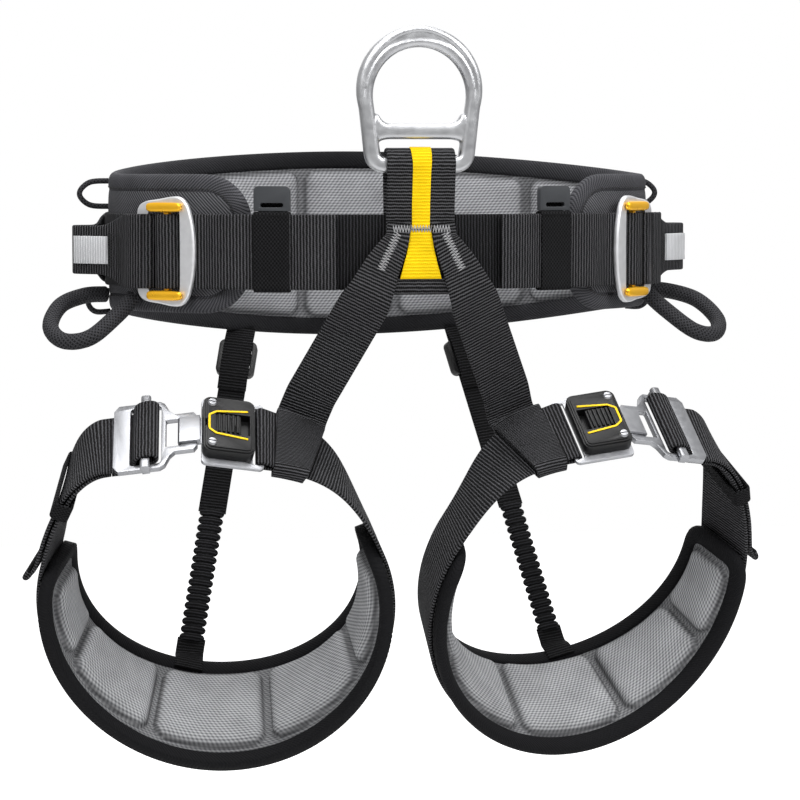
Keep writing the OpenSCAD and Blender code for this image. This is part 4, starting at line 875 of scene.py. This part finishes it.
elastic_mesh = woven("black diamond elastic", diamonds, "#252527", "#000000", 0.9, 0.6)
out, high = hoop(WEB_W / 2 + CLEAR + KEEPER_T / 2, -KEEPER_T / 2 - 0.2, 2 * LAYER + CLEAR + KEEPER_T / 2, 1.6)
keeper_along = belt_along(KEEPER_ANGLE)
keeper_rows = rows_of(belt(KEEPER_ANGLE, out, high), keeper_along, KEEPER_L)
tongue_z = np.linspace(WEB_W / 2 + 0.5, WEB_W / 2 + 9.0, 5)
tongue_rows = rows_of(belt(KEEPER_ANGLE, 0.2, tongue_z), keeper_along, KEEPER_L - 4)
for hand, sign in HANDS:
    rows = mirrored(keeper_rows, sign)
    band = ribbon("tail_keeper_" + hand, rows, thick=KEEPER_T, step=1.0, smooth=0, closed=True)
    dress(band, elastic_mesh, "belt", "elastic", "keeper_" + hand)
    tongue = ribbon("clip_tongue_" + hand, mirrored(tongue_rows, sign), thick=0.7, step=1.0)
    dress(tongue, elastic_mesh, "belt", "elastic")
grey_nylon = moulded("grey moulded nylon", "#3C3E41", 0.45)
worked("holder_clips", "keeper_clips", grey_nylon, "belt", "grey_plastic", 0.8)

# Ventral ring: a drop forged aluminium D with a crossbar, tumbled to a satin finish, loose on its webbing.
# A crescent is struck into the front of the crown and runs out as a groove down each limb.
RING_W, RING_H, RING_BAR_D, RING_CROSS, RING_BAR_Z, RING_T, CROSS_H = 76.0, 83.0, 10.0, 20.0, 52.0, 9.5, 9.5
RING_SIDES, BAR_ROWS, KNEE_R, STRUCK = 72, 70, 7.0, 0.9
ring_o = np.array([0.0, -BELT_HALF_D - CLEAR - WEB_T / 2, RING_BAR_Z])
ring_mid, eye_r = RING_H - RING_W / 2, RING_W / 2 - 9


def forging():
    """The ring: a section |cos|^0.7, |sin|^0.7 carried round its closed centre line, and its bar.
    The crescent lowers the front face by STRUCK mm, wide at the crown and closing to a line by the eye."""
    r = np.radians(np.linspace(-14, 194, 150))
    outer = np.stack([RING_W / 2 * np.cos(r), ring_mid + RING_W / 2 * np.sin(r)], 1)
    inner = np.stack([eye_r * np.cos(r), ring_mid - 4 + eye_r * np.sin(r)], 1)
    arc = np.hstack([(outer + inner) / 2, np.linalg.norm(outer - inner, axis=1, keepdims=True) / 2])
    foot = np.radians(np.linspace(0, -90, 16))
    knee = np.stack([eye_r + KNEE_R * (np.cos(foot) - 1), KNEE_R * (1 + np.sin(foot)), 4.9 + 0 * foot], 1)
    rows = np.vstack([arc, (knee * [-1, 1, 1]), knee[::-1]])
    rows, _ = even(np.stack([rows[:, 0], 0 * rows[:, 0], rows[:, 1], rows[:, 2]], 1), 0.9, 6, closed=True)
    line, half = rows[:, :3], rows[:, 3]
    ahead = unit(np.roll(line, -1, 0) - np.roll(line, 1, 0))
    out = np.cross([0, 1, 0], ahead)
    k = np.linspace(0, 2 * np.pi, RING_SIDES, endpoint=False)
    x, y = bent(np.cos(k), 0.7), bent(np.sin(k), 0.7)
    from_crown = np.degrees(np.abs(np.arctan2(line[:, 0], line[:, 2] - ring_mid)))[:, None]
    open_by = 0.1 + 0.34 * ease(1 - from_crown / 62)
    crescent = ease((open_by - np.abs(x - 0.08)) / 0.12 + 0.5) * (y < 0)
    deep = RING_T / 2 * y[None] + STRUCK * ease((104 - from_crown) / 14) * crescent
    points = line[:, None] + half[:, None, None] * x[None, :, None] * out[:, None]
    points = points + deep[..., None] * np.array([0, 1, 0])
    faces = grid_faces(len(rows), RING_SIDES, around=True, closed=True)
    bar_x = np.linspace(-eye_r - 2, eye_r + 2, BAR_ROWS)
    flare = 8 - np.sqrt(64 - np.clip(np.abs(bar_x) - eye_r + 11.5, 0, 7.7) ** 2)
    low = (RING_CROSS - CROSS_H / 2 - 0.35 * flare)[:, None]
    high = (RING_CROSS + CROSS_H / 2 + flare)[:, None]
    bar_deep = (RING_T - 1.5) / 2 * y[None]
    bar = np.stack(np.broadcast_arrays(bar_x[:, None], bar_deep, (high + low) / 2 + (high - low) / 2 * x), -1)
    start, size = len(rows) * RING_SIDES, BAR_ROWS * RING_SIDES
    caps = [range(start, start + RING_SIDES), range(start + size - RING_SIDES, start + size)]
    faces = np.vstack([faces, grid_faces(BAR_ROWS, RING_SIDES, around=True) + start])
    all_points = np.vstack([points.reshape(-1, 3), bar.reshape(-1, 3)]) + ring_o
    return piece("ring_forging", all_points, faces, caps)


forged = metal("satin forged aluminium", "#D2D3D5", "#B4B5B8", 0.3, 6.0)
ring = forging()
form = bmesh.new()
form.from_mesh(ring.data)
bmesh.ops.recalc_face_normals(form, faces=form.faces)
form.to_mesh(ring.data)
form.free()
one_skin = ring.modifiers.new("one skin", "REMESH")
one_skin.mode, one_skin.voxel_size, one_skin.use_smooth_shade = "VOXEL", 0.0005, True
flow = ring.modifiers.new("fillets", "SMOOTH")
flow.factor, flow.iterations = 0.5, 6
dress(ring, forged, "ring", "forged_aluminium", "ventral_ring")

# Ring webbing: one length turns round the ring's bar, runs down behind the belt webbing and up in front.
# A yellow stripe is sewn down its face, and a yellow insert shows between the risers below the tack.
RING_WEB_W, YOKE_Z, STRIPE_W, STRIPE_T = 42.0, 14.0, 13.0, 0.6
RIGHT, FRONT = np.array([1.0, 0.0, 0.0]), np.array([0.0, -1.0, 0.0])
ring_turn = RING_BAR_D / 2 + 0.5 + WEB_T / 2
front_y = -BELT_HALF_D - 2 * LAYER + WEB_T / 2 - CLEAR
back_y = -BELT_HALF_D + WEB_T / 2 + 5 * CLEAR
under_z = -WEB_W / 2 - 3 * CLEAR - WEB_T / 2
stripe_lift = WEB_T / 2 + CLEAR / 2 + STRIPE_T / 2
stripe_y = front_y - stripe_lift


def in_front(*places):
    """Points in the middle plane from pairs of depth and height."""
    y, z = np.array(places).T
    return np.stack([0 * y, y, z], 1)


def round_bar(first, last, radius):
    """Points round the ring's bar from one angle to another in the middle plane, 2.5 mm slack above it."""
    a = np.radians(np.linspace(first, last, 15))
    up = radius * np.sin(a) + 2.5 * np.maximum(np.sin(a), 0)
    return ring_o + np.stack([0 * a, radius * np.cos(a), up], 1)


ring_path = np.vstack([
    in_front((front_y, YOKE_Z - 12), (front_y, YOKE_Z), (front_y - 0.4, YOKE_Z + 14)),
    round_bar(200, -20, ring_turn),
    in_front((back_y + 1, YOKE_Z + 12), (back_y, YOKE_Z), (back_y, 0), (back_y, under_z + 3),
             (back_y - 1, under_z + 0.8), (back_y - 2.4, under_z), (front_y + 2.4, under_z),
             (front_y + 1, under_z + 0.8), (front_y, under_z + 3), (front_y, under_z + 9))])
ring_web = ribbon("ring_webbing", rows_of(ring_path, RIGHT, RING_WEB_W), smooth=0, step=1.0)
dress(ring_web, black_webbing, "belt", "webbing", "ring_strap")
yellow = woven("yellow polyester webbing", ribs, "#FFE014", "#EFC000", 0.6, 0.35)
stripe_path = np.vstack([
    round_bar(100, 200, ring_turn + stripe_lift),
    in_front((stripe_y - 0.4, YOKE_Z + 14), (stripe_y, YOKE_Z))])
stripe_rows = rows_of(stripe_path, RIGHT, np.linspace(STRIPE_W, STRIPE_W - 2, len(stripe_path)))
stripe = ribbon("ring_stripe_woven", stripe_rows, thick=STRIPE_T, smooth=0, step=1.0)
dress(stripe, yellow, "belt", "yellow_webbing", "ring_stripe")
insert_z, insert_w = np.array([[YOKE_Z - 1, YOKE_Z - 14, under_z + 8.5], [12.5, 17, 25.5]])
insert_rows = rows_of(in_front(*((stripe_y, z) for z in insert_z)), RIGHT, insert_w)
insert = ribbon("yellow_insert", insert_rows, thick=STRIPE_T, smooth=0, step=1.0)
dress(insert, yellow, "belt", "yellow_webbing")
grey_thread = thread("grey sewing thread", "#B4B4B6")
riser_y, tack_y = front_y - LAYER - WEB_T / 2 - 0.1, stripe_y - STRIPE_T / 2 - 0.1
yoke_tacks = [("yoke_tack", (-6.5, tack_y, YOKE_Z), (6.5, tack_y, YOKE_Z), 4.2)]
for hand, sign in HANDS:
    yoke_tacks += [
        ("yoke_tack_" + hand, (7 * sign, riser_y, YOKE_Z), (17.5 * sign, riser_y, YOKE_Z), 4.4),
        ("riser_tack_" + hand, (14.5 * sign, riser_y, YOKE_Z - 2.5), (25 * sign, riser_y, -10.5), 5.0)]
for name, first, last, wide in yoke_tacks:
    dress(tack(name, first, last, FRONT, wide), grey_thread, "belt", "webbing")

# Leg pads: five thermoformed panels under a pale mesh on a black shell, bound all round like the belt.
# Each pad is a flaring hoop under the thigh, open at the top between its two rounded ends.
LEG_R, PAD_W, PAD_END_W, PAD_END, LEG_FOAM, PAD_CORNER = 100.0, 84.0, 58.0, 108.0, 12.0, 16.0
PAD_AHEAD, PAD_LEAN = 7.0, 4.0
THIGH_DROP, THIGH_SPLAY, PAD_FLARE = np.radians([27.0, 12.0, 13.0])
leg_o = np.array([113.0, -52.0, -203.0])
leg_w = np.array([np.cos(THIGH_SPLAY), np.sin(THIGH_SPLAY), 0.0])
thigh_level = np.array([np.sin(THIGH_SPLAY), -np.cos(THIGH_SPLAY), 0.0])
leg_d = np.cos(THIGH_DROP) * thigh_level - np.sin(THIGH_DROP) * UP
leg_e = np.cross(leg_d, leg_w)


def leg_out(a):
    """Direction from a leg loop's axis at the angle a from the pad's middle; PAD_LEAN turns it inboard."""
    a = np.radians(np.asarray(a, float) - PAD_LEAN)[..., None]
    return np.sin(a) * leg_w - np.cos(a) * leg_e


def leg_along(a):
    """Direction along the hoop at the angle a."""
    a = np.radians(a - PAD_LEAN)
    return np.cos(a) * leg_w + np.sin(a) * leg_e


def pad(a, off, s):
    """Point of a leg pad: a cone about the thigh that widens at the flare, s along it and off outside it."""
    a, off, s = np.broadcast_arrays(np.asarray(a, float), off, s)
    radius = LEG_R + (s + PAD_AHEAD) * np.sin(PAD_FLARE) + off * np.cos(PAD_FLARE)
    ahead = (s + PAD_AHEAD) * np.cos(PAD_FLARE) - off * np.sin(PAD_FLARE)
    return leg_o + radius[..., None] * leg_out(a) + ahead[..., None] * leg_d


def pad_pace(a):
    """Millimetres of leg pad to a degree."""
    return LEG_R * np.pi / 180 + 0 * np.asarray(a)


def pad_edge(a, inset):
    """Half width of a leg pad at a: full in the middle, narrower at its rounded ends."""
    a = np.abs(a)
    wide = PAD_W + (PAD_END_W - PAD_W) * ease(a / PAD_END)
    return wide / 2 - inset - corner((PAD_END - a) * pad_pace(0) - inset, max(PAD_CORNER - inset, 1.0))


def pad_face(a):
    """Outward normal of a leg pad's shell."""
    return np.cos(PAD_FLARE) * leg_out(a) - np.sin(PAD_FLARE) * leg_d


def pad_wide(a):
    """Direction across a leg pad, towards the knee."""
    return np.cos(PAD_FLARE) * leg_d + np.sin(PAD_FLARE) * leg_out(a)


leg_reach = PAD_END - PAD_INSET / pad_pace(0)
leg_marks = np.array([-leg_reach, -58.0, -14.0, 30.0, 70.0, leg_reach])
leg_turn = np.linspace(-leg_reach, leg_reach, 361)
rim_last = PAD_END - BIND_W / 2 / pad_pace(0)
leg_rim_turn = turns(-rim_last, rim_last, 110)
# Its darkest colour is painted shade in the channels and at the foot of each panel.
pale_mesh = woven("pale grey spacer mesh", spacer_mesh, "#BEBFC1", "#646568", 0.9, 0.35, "#3A3A3C")
black_twill = woven("black stretch twill", twill, "#303033", "#131314", 0.82, 0.25)
for hand, sign in HANDS:
    flip = np.array([sign, 1, 1])

    def leg_place(a, off, s):
        """Point of this hand's pad."""
        return pad(a, off, s) * flip

    def leg_normal(a):
        """Outward normal of this hand's pad."""
        return pad_face(a) * flip

    body = "leg_" + hand
    soft = lining("leg_lining_" + hand, leg_place, pad_pace, leg_turn, pad_edge, leg_marks, LEG_FOAM)
    dress(soft, pale_mesh, body, "foam_mesh", "leg_foam_" + hand)
    outside = cover("leg_cover_" + hand, leg_place, pad_pace, leg_turn, pad_edge)
    dress(outside, black_twill, body, "leg_twill", "leg_shell_" + hand)
    form = (leg_place, leg_normal, leg_rim_turn, pad_edge, np.ones_like)
    bind("leg", "_" + hand, body, "leg_binding_" + hand, *form)

# Leg webbing: one length runs under the pad, up the outer side into the buckle, and back as the tail.
# On the inner side it is folded round the hook plate and sewn to itself.
FRAME_L, BASE_T, ROLL_MID, STRAP_LEAD, TAIL_LOOSE, TAIL_SPRING = 42.0, 2.0, 22.0, 3.0, 8.0, 4.0
SLOPE, BUCKLE_TURN, HOOK_BEND = np.radians([8.0, 15.0, 20.0])
BEND_X = 31.0 - FRAME_L
buckle_x = np.cos(SLOPE) * leg_w - np.sin(SLOPE) * leg_e
buckle_up = np.sin(SLOPE) * leg_w + np.cos(SLOPE) * leg_e
buckle_y = -np.cos(BUCKLE_TURN) * leg_d + np.sin(BUCKLE_TURN) * buckle_up
buckle_z = np.cross(buckle_x, buckle_y)
buckle_o = leg_o + 17.0 * leg_w + 102.0 * leg_e
hook_x = np.cos(HOOK_BEND) * buckle_x + np.sin(HOOK_BEND) * buckle_z
hook_z = np.cos(HOOK_BEND) * buckle_z - np.sin(HOOK_BEND) * buckle_x
fold_x, fold_r = -FRAME_L - 5, BASE_T / 2 + 2 * CLEAR + WEB_T / 2
leg_bar_z = PLATE_Z + PLATE_T + CLEAR + BAR_T / 2
tail_lift = LAYER + 3 * CLEAR
web_off = 2 * CLEAR + WEB_T / 2


def at_buckle(x, z):
    """Point in the leg buckle's frame: x outboard along the strap, z out from the strap's centre."""
    return buckle_o + np.asarray(x, float)[..., None] * buckle_x + np.asarray(z, float)[..., None] * buckle_z


def at_hook(x, z):
    """Point in the hook plate's frame, which is bent down from the buckle's about a line at BEND_X."""
    x, z = np.asarray(x, float)[..., None], np.asarray(z, float)[..., None]
    return at_buckle(BEND_X, BAR_Z) + (x - BEND_X) * hook_x + (z - BAR_Z) * hook_z


def bezier(p, f):
    """Cubic Bezier curve through four points at f from 0 to 1."""
    f = np.asarray(f, float)[..., None]
    g = 1 - f
    return g ** 3 * p[0] + 3 * g * g * f * p[1] + 3 * g * f * f * p[2] + f ** 3 * p[3]


def strap_frame(strap, f):
    """Place, width direction and outward normal of a strap at f of its curve, its width turned along it."""
    curve, first, last = strap
    at = bezier(curve, f)
    ahead = unit(bezier(curve, np.asarray(f) + 0.01) - bezier(curve, np.asarray(f) - 0.01))
    wide = unit(first + (last - first) * ease(f)[..., None])
    return at, wide, unit(np.cross(ahead, wide))


p, q = pad(PAD_END, web_off, 0), at_buckle(FRAME_L + STRAP_LEAD, 0)
outer_curve = np.stack([p, p + 30 * leg_along(PAD_END), q + 23 * buckle_x, q])
outer_strap = outer_curve, unit(pad_wide(PAD_END)), -buckle_y
p, q = at_hook(-FRAME_L - 8, BAR_Z - fold_r), pad(-PAD_END, web_off, 0)
inner_curve = np.stack([p, p - 36 * hook_x, q - 40 * leg_along(-PAD_END), q])
inner_strap = inner_curve, -buckle_y, unit(pad_wide(-PAD_END))
back_at, back_wide, back_out = strap_frame(inner_strap, np.linspace(4 / 14, 1 / 14, 12))
inner_at, inner_wide, _ = strap_frame(inner_strap, np.linspace(0, 1, 40))
outer_at, outer_wide, _ = strap_frame(outer_strap, np.linspace(0, 1, 40))
run_at, run_wide, run_out = strap_frame(outer_strap, np.linspace(13 / 14, 1 / 14, 36))
turn = np.radians(np.linspace(90, -90, 13))
turn_at = at_hook(fold_x + fold_r * np.cos(turn), BAR_Z + fold_r * np.sin(turn))
under_a = np.linspace(-PAD_END, PAD_END, 90)[1:-1]
leg_rows = np.vstack([rows_of(at, wide, WEB_W) for at, wide in (
    (back_at + LAYER * back_out, back_wide), (turn_at, -buckle_y), (inner_at, inner_wide),
    (pad(under_a, web_off, 0), pad_wide(under_a)), (outer_at, outer_wide))])
roll = adjuster_roll(ROLL_MID - FRAME_L - STRAP_LEAD + 1.2, leg_bar_z)
loose_f = np.linspace(0.1, 1, 8)
loose = pad(PAD_END - loose_f * TAIL_LOOSE / pad_pace(0), web_off + tail_lift + TAIL_SPRING * loose_f, 0)
fold_turn = np.radians(np.linspace(-90, 90, 7))[:, None]
end_ahead, end_out = unit(loose[-1] - loose[-2]), pad_face(PAD_END)
end_fold = loose[-1] + LAYER / 2 * (np.cos(fold_turn) * end_ahead + (1 + np.sin(fold_turn)) * end_out)
loose = np.vstack([loose, end_fold, loose[::-1][:6] + LAYER * end_out])
tail_rows = np.vstack([rows_of(at, wide, WEB_W) for at, wide in (
    (at_buckle(ROLL_MID - roll[:, 0], roll[:, 1]), -buckle_y), (run_at + tail_lift * run_out, run_wide),
    (loose, unit(pad_wide(PAD_END))))])
mid_at, mid_wide, mid_out = strap_frame(outer_strap, np.array(7 / 14))
x, y = hoop(WEB_W / 2 + 2.8, -2.2 - WEB_T / 2, tail_lift + WEB_T / 2 + 2.2, 1.8)
keep_rows = rows_of(mid_at + x[:, None] * mid_out + y[:, None] * mid_wide, np.cross(mid_wide, mid_out), 12.0)
for hand, sign in HANDS:
    body = "leg_" + hand
    for name, node, rows in (("leg_strap_", "leg_webbing_", leg_rows),
                             ("leg_strap_tail_", "leg_tail_", tail_rows)):
        strap = ribbon(name + hand, mirrored(rows, sign), smooth=1, step=1.5)
        dress(strap, black_webbing, body, "webbing", node + hand)
    rows = mirrored(keep_rows, sign)
    keeper = ribbon("leg_strap_keeper_" + hand, rows, thick=1.6, smooth=0, step=1.0, closed=True)
    dress(keeper, elastic_mesh, body, "elastic", "leg_keeper_" + hand)

# Leg buckles: a polished steel frame with a bent sliding bar hooks onto a plate that carries a sprung catch.
# Cover and latch are black moulded nylon held by two screws, with a raised yellow line round the latch.
LINE_W, LINE_T, COVER_TOP = 1.4, 0.5, 8.3
polished = metal("polished steel", "#B2B3B6", "#9C9DA1", 0.34, 4.0)
spring_wire = metal("spring steel wire", "#B9BBBF", "#8E9095", 0.3, 2.0)
black_nylon = moulded("black moulded nylon", "#0F0F10", 0.38)
yellow_print = moulded("yellow enamel trim", "#FFD400", 0.4)
line_x, line_y = np.array([[-37.5, -18.4, -14.2, -14.2, -18.4, -37.5], [-11.2, -8.8, -5.6, 5.6, 8.8, 11.2]])
line_at = at_hook(line_x, BAR_Z + BASE_T / 2 + CLEAR + COVER_TOP) + line_y[:, None] * buckle_y
line_rows = rows_of(line_at, unit(np.cross(hook_z, np.gradient(line_at, axis=0))), LINE_W)
catch_parts = (
    ("hook_plate_", "hook_base_", polished, "leg_", "polished_steel", 0.35),
    ("catch_frame_", "buckle_frame_", polished, "leg_", "polished_steel", 0.8),
    ("bent_bar_", "adjuster_bar_", polished, "adjuster_", "polished_steel", 0.6),
    ("catch_cover_", "buckle_cover_", black_nylon, "leg_", "black_plastic", 0.5),
    ("catch_latch_", "latch_", black_nylon, "latch_", "black_plastic", 0.3),
    ("catch_spring_", "latch_spring_", spring_wire, "leg_", "spring_steel", 0.05),
    ("catch_screws_", "cover_screws_", polished, "leg_", "spring_steel", 0.15))
for hand, sign in HANDS:
    for name, node, material, body, slot, bevel in catch_parts:
        worked(name + hand, node + hand, material, body + hand, slot, bevel)
    line = ribbon("catch_line_" + hand, mirrored(line_rows, sign), thick=LINE_T, step=1.0, smooth=0)
    dress(line, yellow_print, "leg_" + hand, "yellow_trim", "cover_trim_" + hand)

# Risers: webbing from the yoke in front of the belt falls to each leg loop, narrow at the top, wider below.
# Its end is sewn round the leg strap as a sleeve; the fold above that is where the leg swings.
RISER_W, LOOP_F, SLEEVE_GAP, SLEEVE_REACH, HINGE_GAP = 31.0, 0.19, 1.1, 0.135, 1.4
riser_yoke = np.array([
    [13.5, YOKE_Z + 4, 14], [14.5, YOKE_Z - 6, 15], [20, YOKE_Z - 16, 20], [24, YOKE_Z - 23, 22.5],
    [31, under_z, 28]])
riser_lean = np.array([0, 0.1, 0.3, 0.4, 0.5])
loop_at, _, loop_face = strap_frame(inner_strap, np.array(LOOP_F))
loop_along = unit(bezier(inner_curve, LOOP_F + 0.05) - bezier(inner_curve, LOOP_F - 0.05))
loop_side = np.cross(loop_face, loop_along)
loop_half = WEB_W / 2 + SLEEVE_GAP + WEB_T / 2
hinge = loop_at - (loop_half + 5) * loop_side
yoke = np.stack([riser_yoke[:, 0], 0 * riser_yoke[:, 0] + front_y - LAYER, riser_yoke[:, 1]], 1)
away = hinge - yoke[4]
last = unit(away - (away @ loop_along) * loop_along)
knee = hinge - (HINGE_GAP + 14) * last
fall = np.linspace(0.1, 1, 10)[:, None]
root = loop_at - (loop_half - 0.8) * loop_side
riser_path = np.vstack([
    yoke, yoke[4] + (knee - yoke[4]) * fall, hinge - HINGE_GAP * last, hinge + HINGE_GAP * loop_side, root])
lean = np.stack([0 * riser_lean + 1, 0 * riser_lean, riser_lean], 1)
low_wide = np.broadcast_to(-loop_along, (3, 3))
riser_wide = np.vstack([lean, lean[4] + (-loop_along - lean[4]) * fall, low_wide])
riser_rows = rows_of(riser_path, unit(riser_wide), np.r_[riser_yoke[:, 2], np.full(13, RISER_W)])


def sleeve(name, sign):
    """The riser's sleeve round the leg strap: a rounded rectangle at each f of the strap, webbing thick."""
    f = np.linspace(LOOP_F - SLEEVE_REACH, LOOP_F + SLEEVE_REACH, 25)
    at, wide, face = strap_frame(inner_strap, f)
    wide = np.cross(face, unit(np.gradient(at, axis=0)))
    skins = []
    for grow in (SLEEVE_GAP, SLEEVE_GAP + WEB_T):
        x, y = hoop(WEB_W / 2 + grow, -WEB_T / 2 - grow, LAYER + WEB_T / 2 + grow, 0.8 + grow)
        skins.append(at[None] + y[:, None, None] * wide + x[:, None, None] * face)
    around = np.r_[0, np.cumsum(np.linalg.norm(np.diff(skins[1][:, 12], axis=0), axis=1))]
    across = np.r_[0, np.cumsum(np.linalg.norm(np.diff(at, axis=0), axis=1))]
    weave = np.stack(np.broadcast_arrays(around[:, None], np.r_[across, across[::-1]][None]), -1)
    points = np.concatenate([skins[1], skins[0][:, ::-1]], 1)
    return skin(name, points * [sign, 1, 1], weave, closed=True)


def bend_with(obj, material):
    """Gives a strap its material and bakes its place into its points, in metres."""
    obj.data.materials.append(material)
    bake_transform(obj)


for hand, sign in HANDS:
    flip = np.array([sign, 1, 1]) / 1000
    around_strap = sleeve("riser_sleeve_" + hand, sign)
    dress(around_strap, black_webbing, "leg_" + hand, "webbing", "riser_loop_" + hand)
    fallen = ribbon("riser_woven_" + hand, mirrored(riser_rows, sign), smooth=2, step=1.5)
    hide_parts("riser_" + hand)
    bend_with(fallen, black_webbing)

# Rear straps: narrow webbing from the belt's lower edge through a plastic adjuster, then a ribbed sleeve.
# Its doubled end lies over the adjuster's face, and its foot is sewn flat on the tape at the pad's rear edge.
REAR_W, REAR_T, RIBS, RIB_DEEP, SLEEVE_SHARE, REAR_X, REAR_FOOT = 18.0, 2.0, 17, 3.0, 0.4, 75.0, 19.0
rear_t = 180 - np.degrees(np.arcsin(REAR_X / BELT_HALF_W))
rear_top = belt_pad(rear_t, -5.0, -belt_edge(np.array(rear_t), 0) - 2)
rear_foot = pad(REAR_FOOT, -4.0, -pad_edge(REAR_FOOT, 0) - 2.2)
rear_len = np.linalg.norm(rear_foot - rear_top)
rear_dir = (rear_foot - rear_top) / rear_len
rear_turn = np.array([1, 0.25, 0])
rear_wide = unit(rear_turn - (rear_turn @ rear_dir) * rear_dir)
rear_face = unit(np.cross(rear_wide, rear_dir))
rear_face = rear_face * -np.sign(rear_face[1])
sleeve_to = rear_len - 12.0
sleeve_from = sleeve_to - rear_len * SLEEVE_SHARE + 0.4


def rear_at(s):
    """Point of a rear strap, s millimetres down from the belt."""
    return rear_top + np.asarray(s, float)[..., None] * rear_dir


def ribbed(name, sign):
    """Elastic sleeve: an oval, 0.375 REAR_W by RIB_DEEP half axes, times 0.78 + 0.42 sqrt|sin|,
    with a rib to each half wave."""
    s = np.linspace(0, 1, RIBS * 10 + 1)
    size = 0.78 + 0.42 * np.sqrt(np.abs(np.sin(np.pi * RIBS * s)))
    k = np.linspace(0, 2 * np.pi, 28, endpoint=False)
    deep = np.cross(rear_dir, rear_wide)
    oval = 0.375 * REAR_W * np.cos(k)[:, None] * rear_wide + RIB_DEEP * np.sin(k)[:, None] * deep
    along = (sleeve_to - sleeve_from) * s
    points = rear_at(sleeve_from + along)[:, None] + size[:, None, None] * oval
    weave = np.stack(np.broadcast_arrays(along[:, None], 9 * np.cos(k)[None]), -1)
    return skin(name, points * [sign, 1, 1], weave)


rubber_knit = woven("black elastic knit", ribs, "#2E2E31", "#060606", 0.8, 0.3)
# A darker copy of the webbing: painted shade for the rear straps, which hang in shade under the belt.
shaded_narrow_web = woven("black narrow webbing", ribs, "#29292B", "#010101", 0.75, 0.7)
upper = rows_of(rear_at(np.linspace(-5.0, sleeve_from + 2, 32)), rear_wide, REAR_W)
fold = np.array([[-4, 1.6], [2, 2.4], [5, 4.3], [18, 4.5], [31, 4.3], [35, 2.6], [40, 1.7]])
fold_rows = rows_of(rear_at(fold[:, 0]) + fold[:, 1:] * rear_face, rear_wide, REAR_W + 1.0)
sewn_s = np.linspace(1.0, BIND_W - 1.5, 6) - pad_edge(REAR_FOOT, 0)
sewn_end = pad(REAR_FOOT, -BIND_T - 0.5, sewn_s)
hanging = rear_at(np.linspace(sleeve_to - 2, rear_len - 3, 8))
lower = np.vstack([rows_of(hanging, rear_wide, REAR_W), rows_of(sewn_end, leg_along(REAR_FOOT), REAR_W)])
for hand, sign in HANDS:
    flip = np.array([sign, 1, 1]) / 1000
    first = ribbon("rear_strap_upper_" + hand, mirrored(upper, sign), thick=REAR_T)
    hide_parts("rear_strap_" + hand)
    stretch = ribbed("rear_elastic_" + hand, sign)
    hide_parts("rear_sleeve_" + hand)
    over = ribbon("rear_strap_fold_" + hand, mirrored(fold_rows, sign), thick=1.4)
    foot = ribbon("rear_strap_lower_" + hand, mirrored(lower, sign), thick=REAR_T)
    for strap in (first, over, foot):
        bend_with(strap, shaded_narrow_web)
    bend_with(stretch, rubber_knit)
worked("strap_adjusters_moulded", "strap_adjusters", black_nylon, "belt", "black_plastic", 0.6)

# Studio: a plain pale floor well below the harness, soft lamps, and white all round for the camera.
# Mirror rays see a paler and a darker half of the room, so that the metal keeps its form.
AMBIENT, ROOM_DARK, ROOM_PALE, FLOOR_HALF, FLOOR_Z = 0.22, 0.02, 0.62, 4.0, cad_box[0][2] - 0.35
LAMPS = (("key", (-0.8, -1.5, 1.5), 1.0, 28.0), ("fill", (1.2, -1.4, 1.1), 1.0, 20.0),
         ("top", (0.0, -0.1, 1.8), 1.2, 26.0), ("back", (0.3, 1.5, 0.6), 1.4, 8.0))
world = bpy.data.worlds.new("studio")
world.use_nodes = True
bpy.context.scene.world = world
tree = world.node_tree
light = tree.nodes["Background"]
path_of = tree.nodes.new("ShaderNodeLightPath").outputs
height = tree.nodes.new("ShaderNodeSeparateXYZ")
tree.links.new(add(tree, "TexCoord").node.outputs["Generated"], height.inputs[0])
room = add(tree, "MapRange", {0: height.outputs[2], 1: -0.55, 2: 0.25, 3: ROOM_DARK, 4: ROOM_PALE})
mirror = add(tree, "Mix", {0: path_of["Is Glossy Ray"], 2: AMBIENT, 3: room}, data_type="FLOAT")
seen = add(tree, "Mix", {0: path_of["Is Camera Ray"], 2: mirror, 3: 1.0}, data_type="FLOAT")
tree.links.new(seen, light.inputs["Strength"])
light.inputs["Color"].default_value = (1, 1, 1, 1)

corners = [(FLOOR_HALF * x, FLOOR_HALF * y, FLOOR_Z) for x, y in ((-1, -1), (1, -1), (1, 1), (-1, 1))]
floor_mesh = bpy.data.meshes.new("floor")
floor_mesh.from_pydata(corners, [], [(0, 1, 2, 3)])
floor = shown("floor", floor_mesh)
matt, tree, shader = finish("matt white studio floor", Base_Color=linear("#FAFAFA"), Roughness=0.9)
shader.inputs["Emission Color"].default_value = (1, 1, 1, 1)
feed(tree, shader, Emission_Strength=tree.nodes.new("ShaderNodeLightPath").outputs["Is Camera Ray"])
floor_mesh.materials.append(matt)

for name, place, size, watts in LAMPS:
    lamp = bpy.data.lights.new(name, "AREA")
    lamp.energy, lamp.size = watts, size
    set_up(shown(name, lamp), place, (0, 0, -0.1))
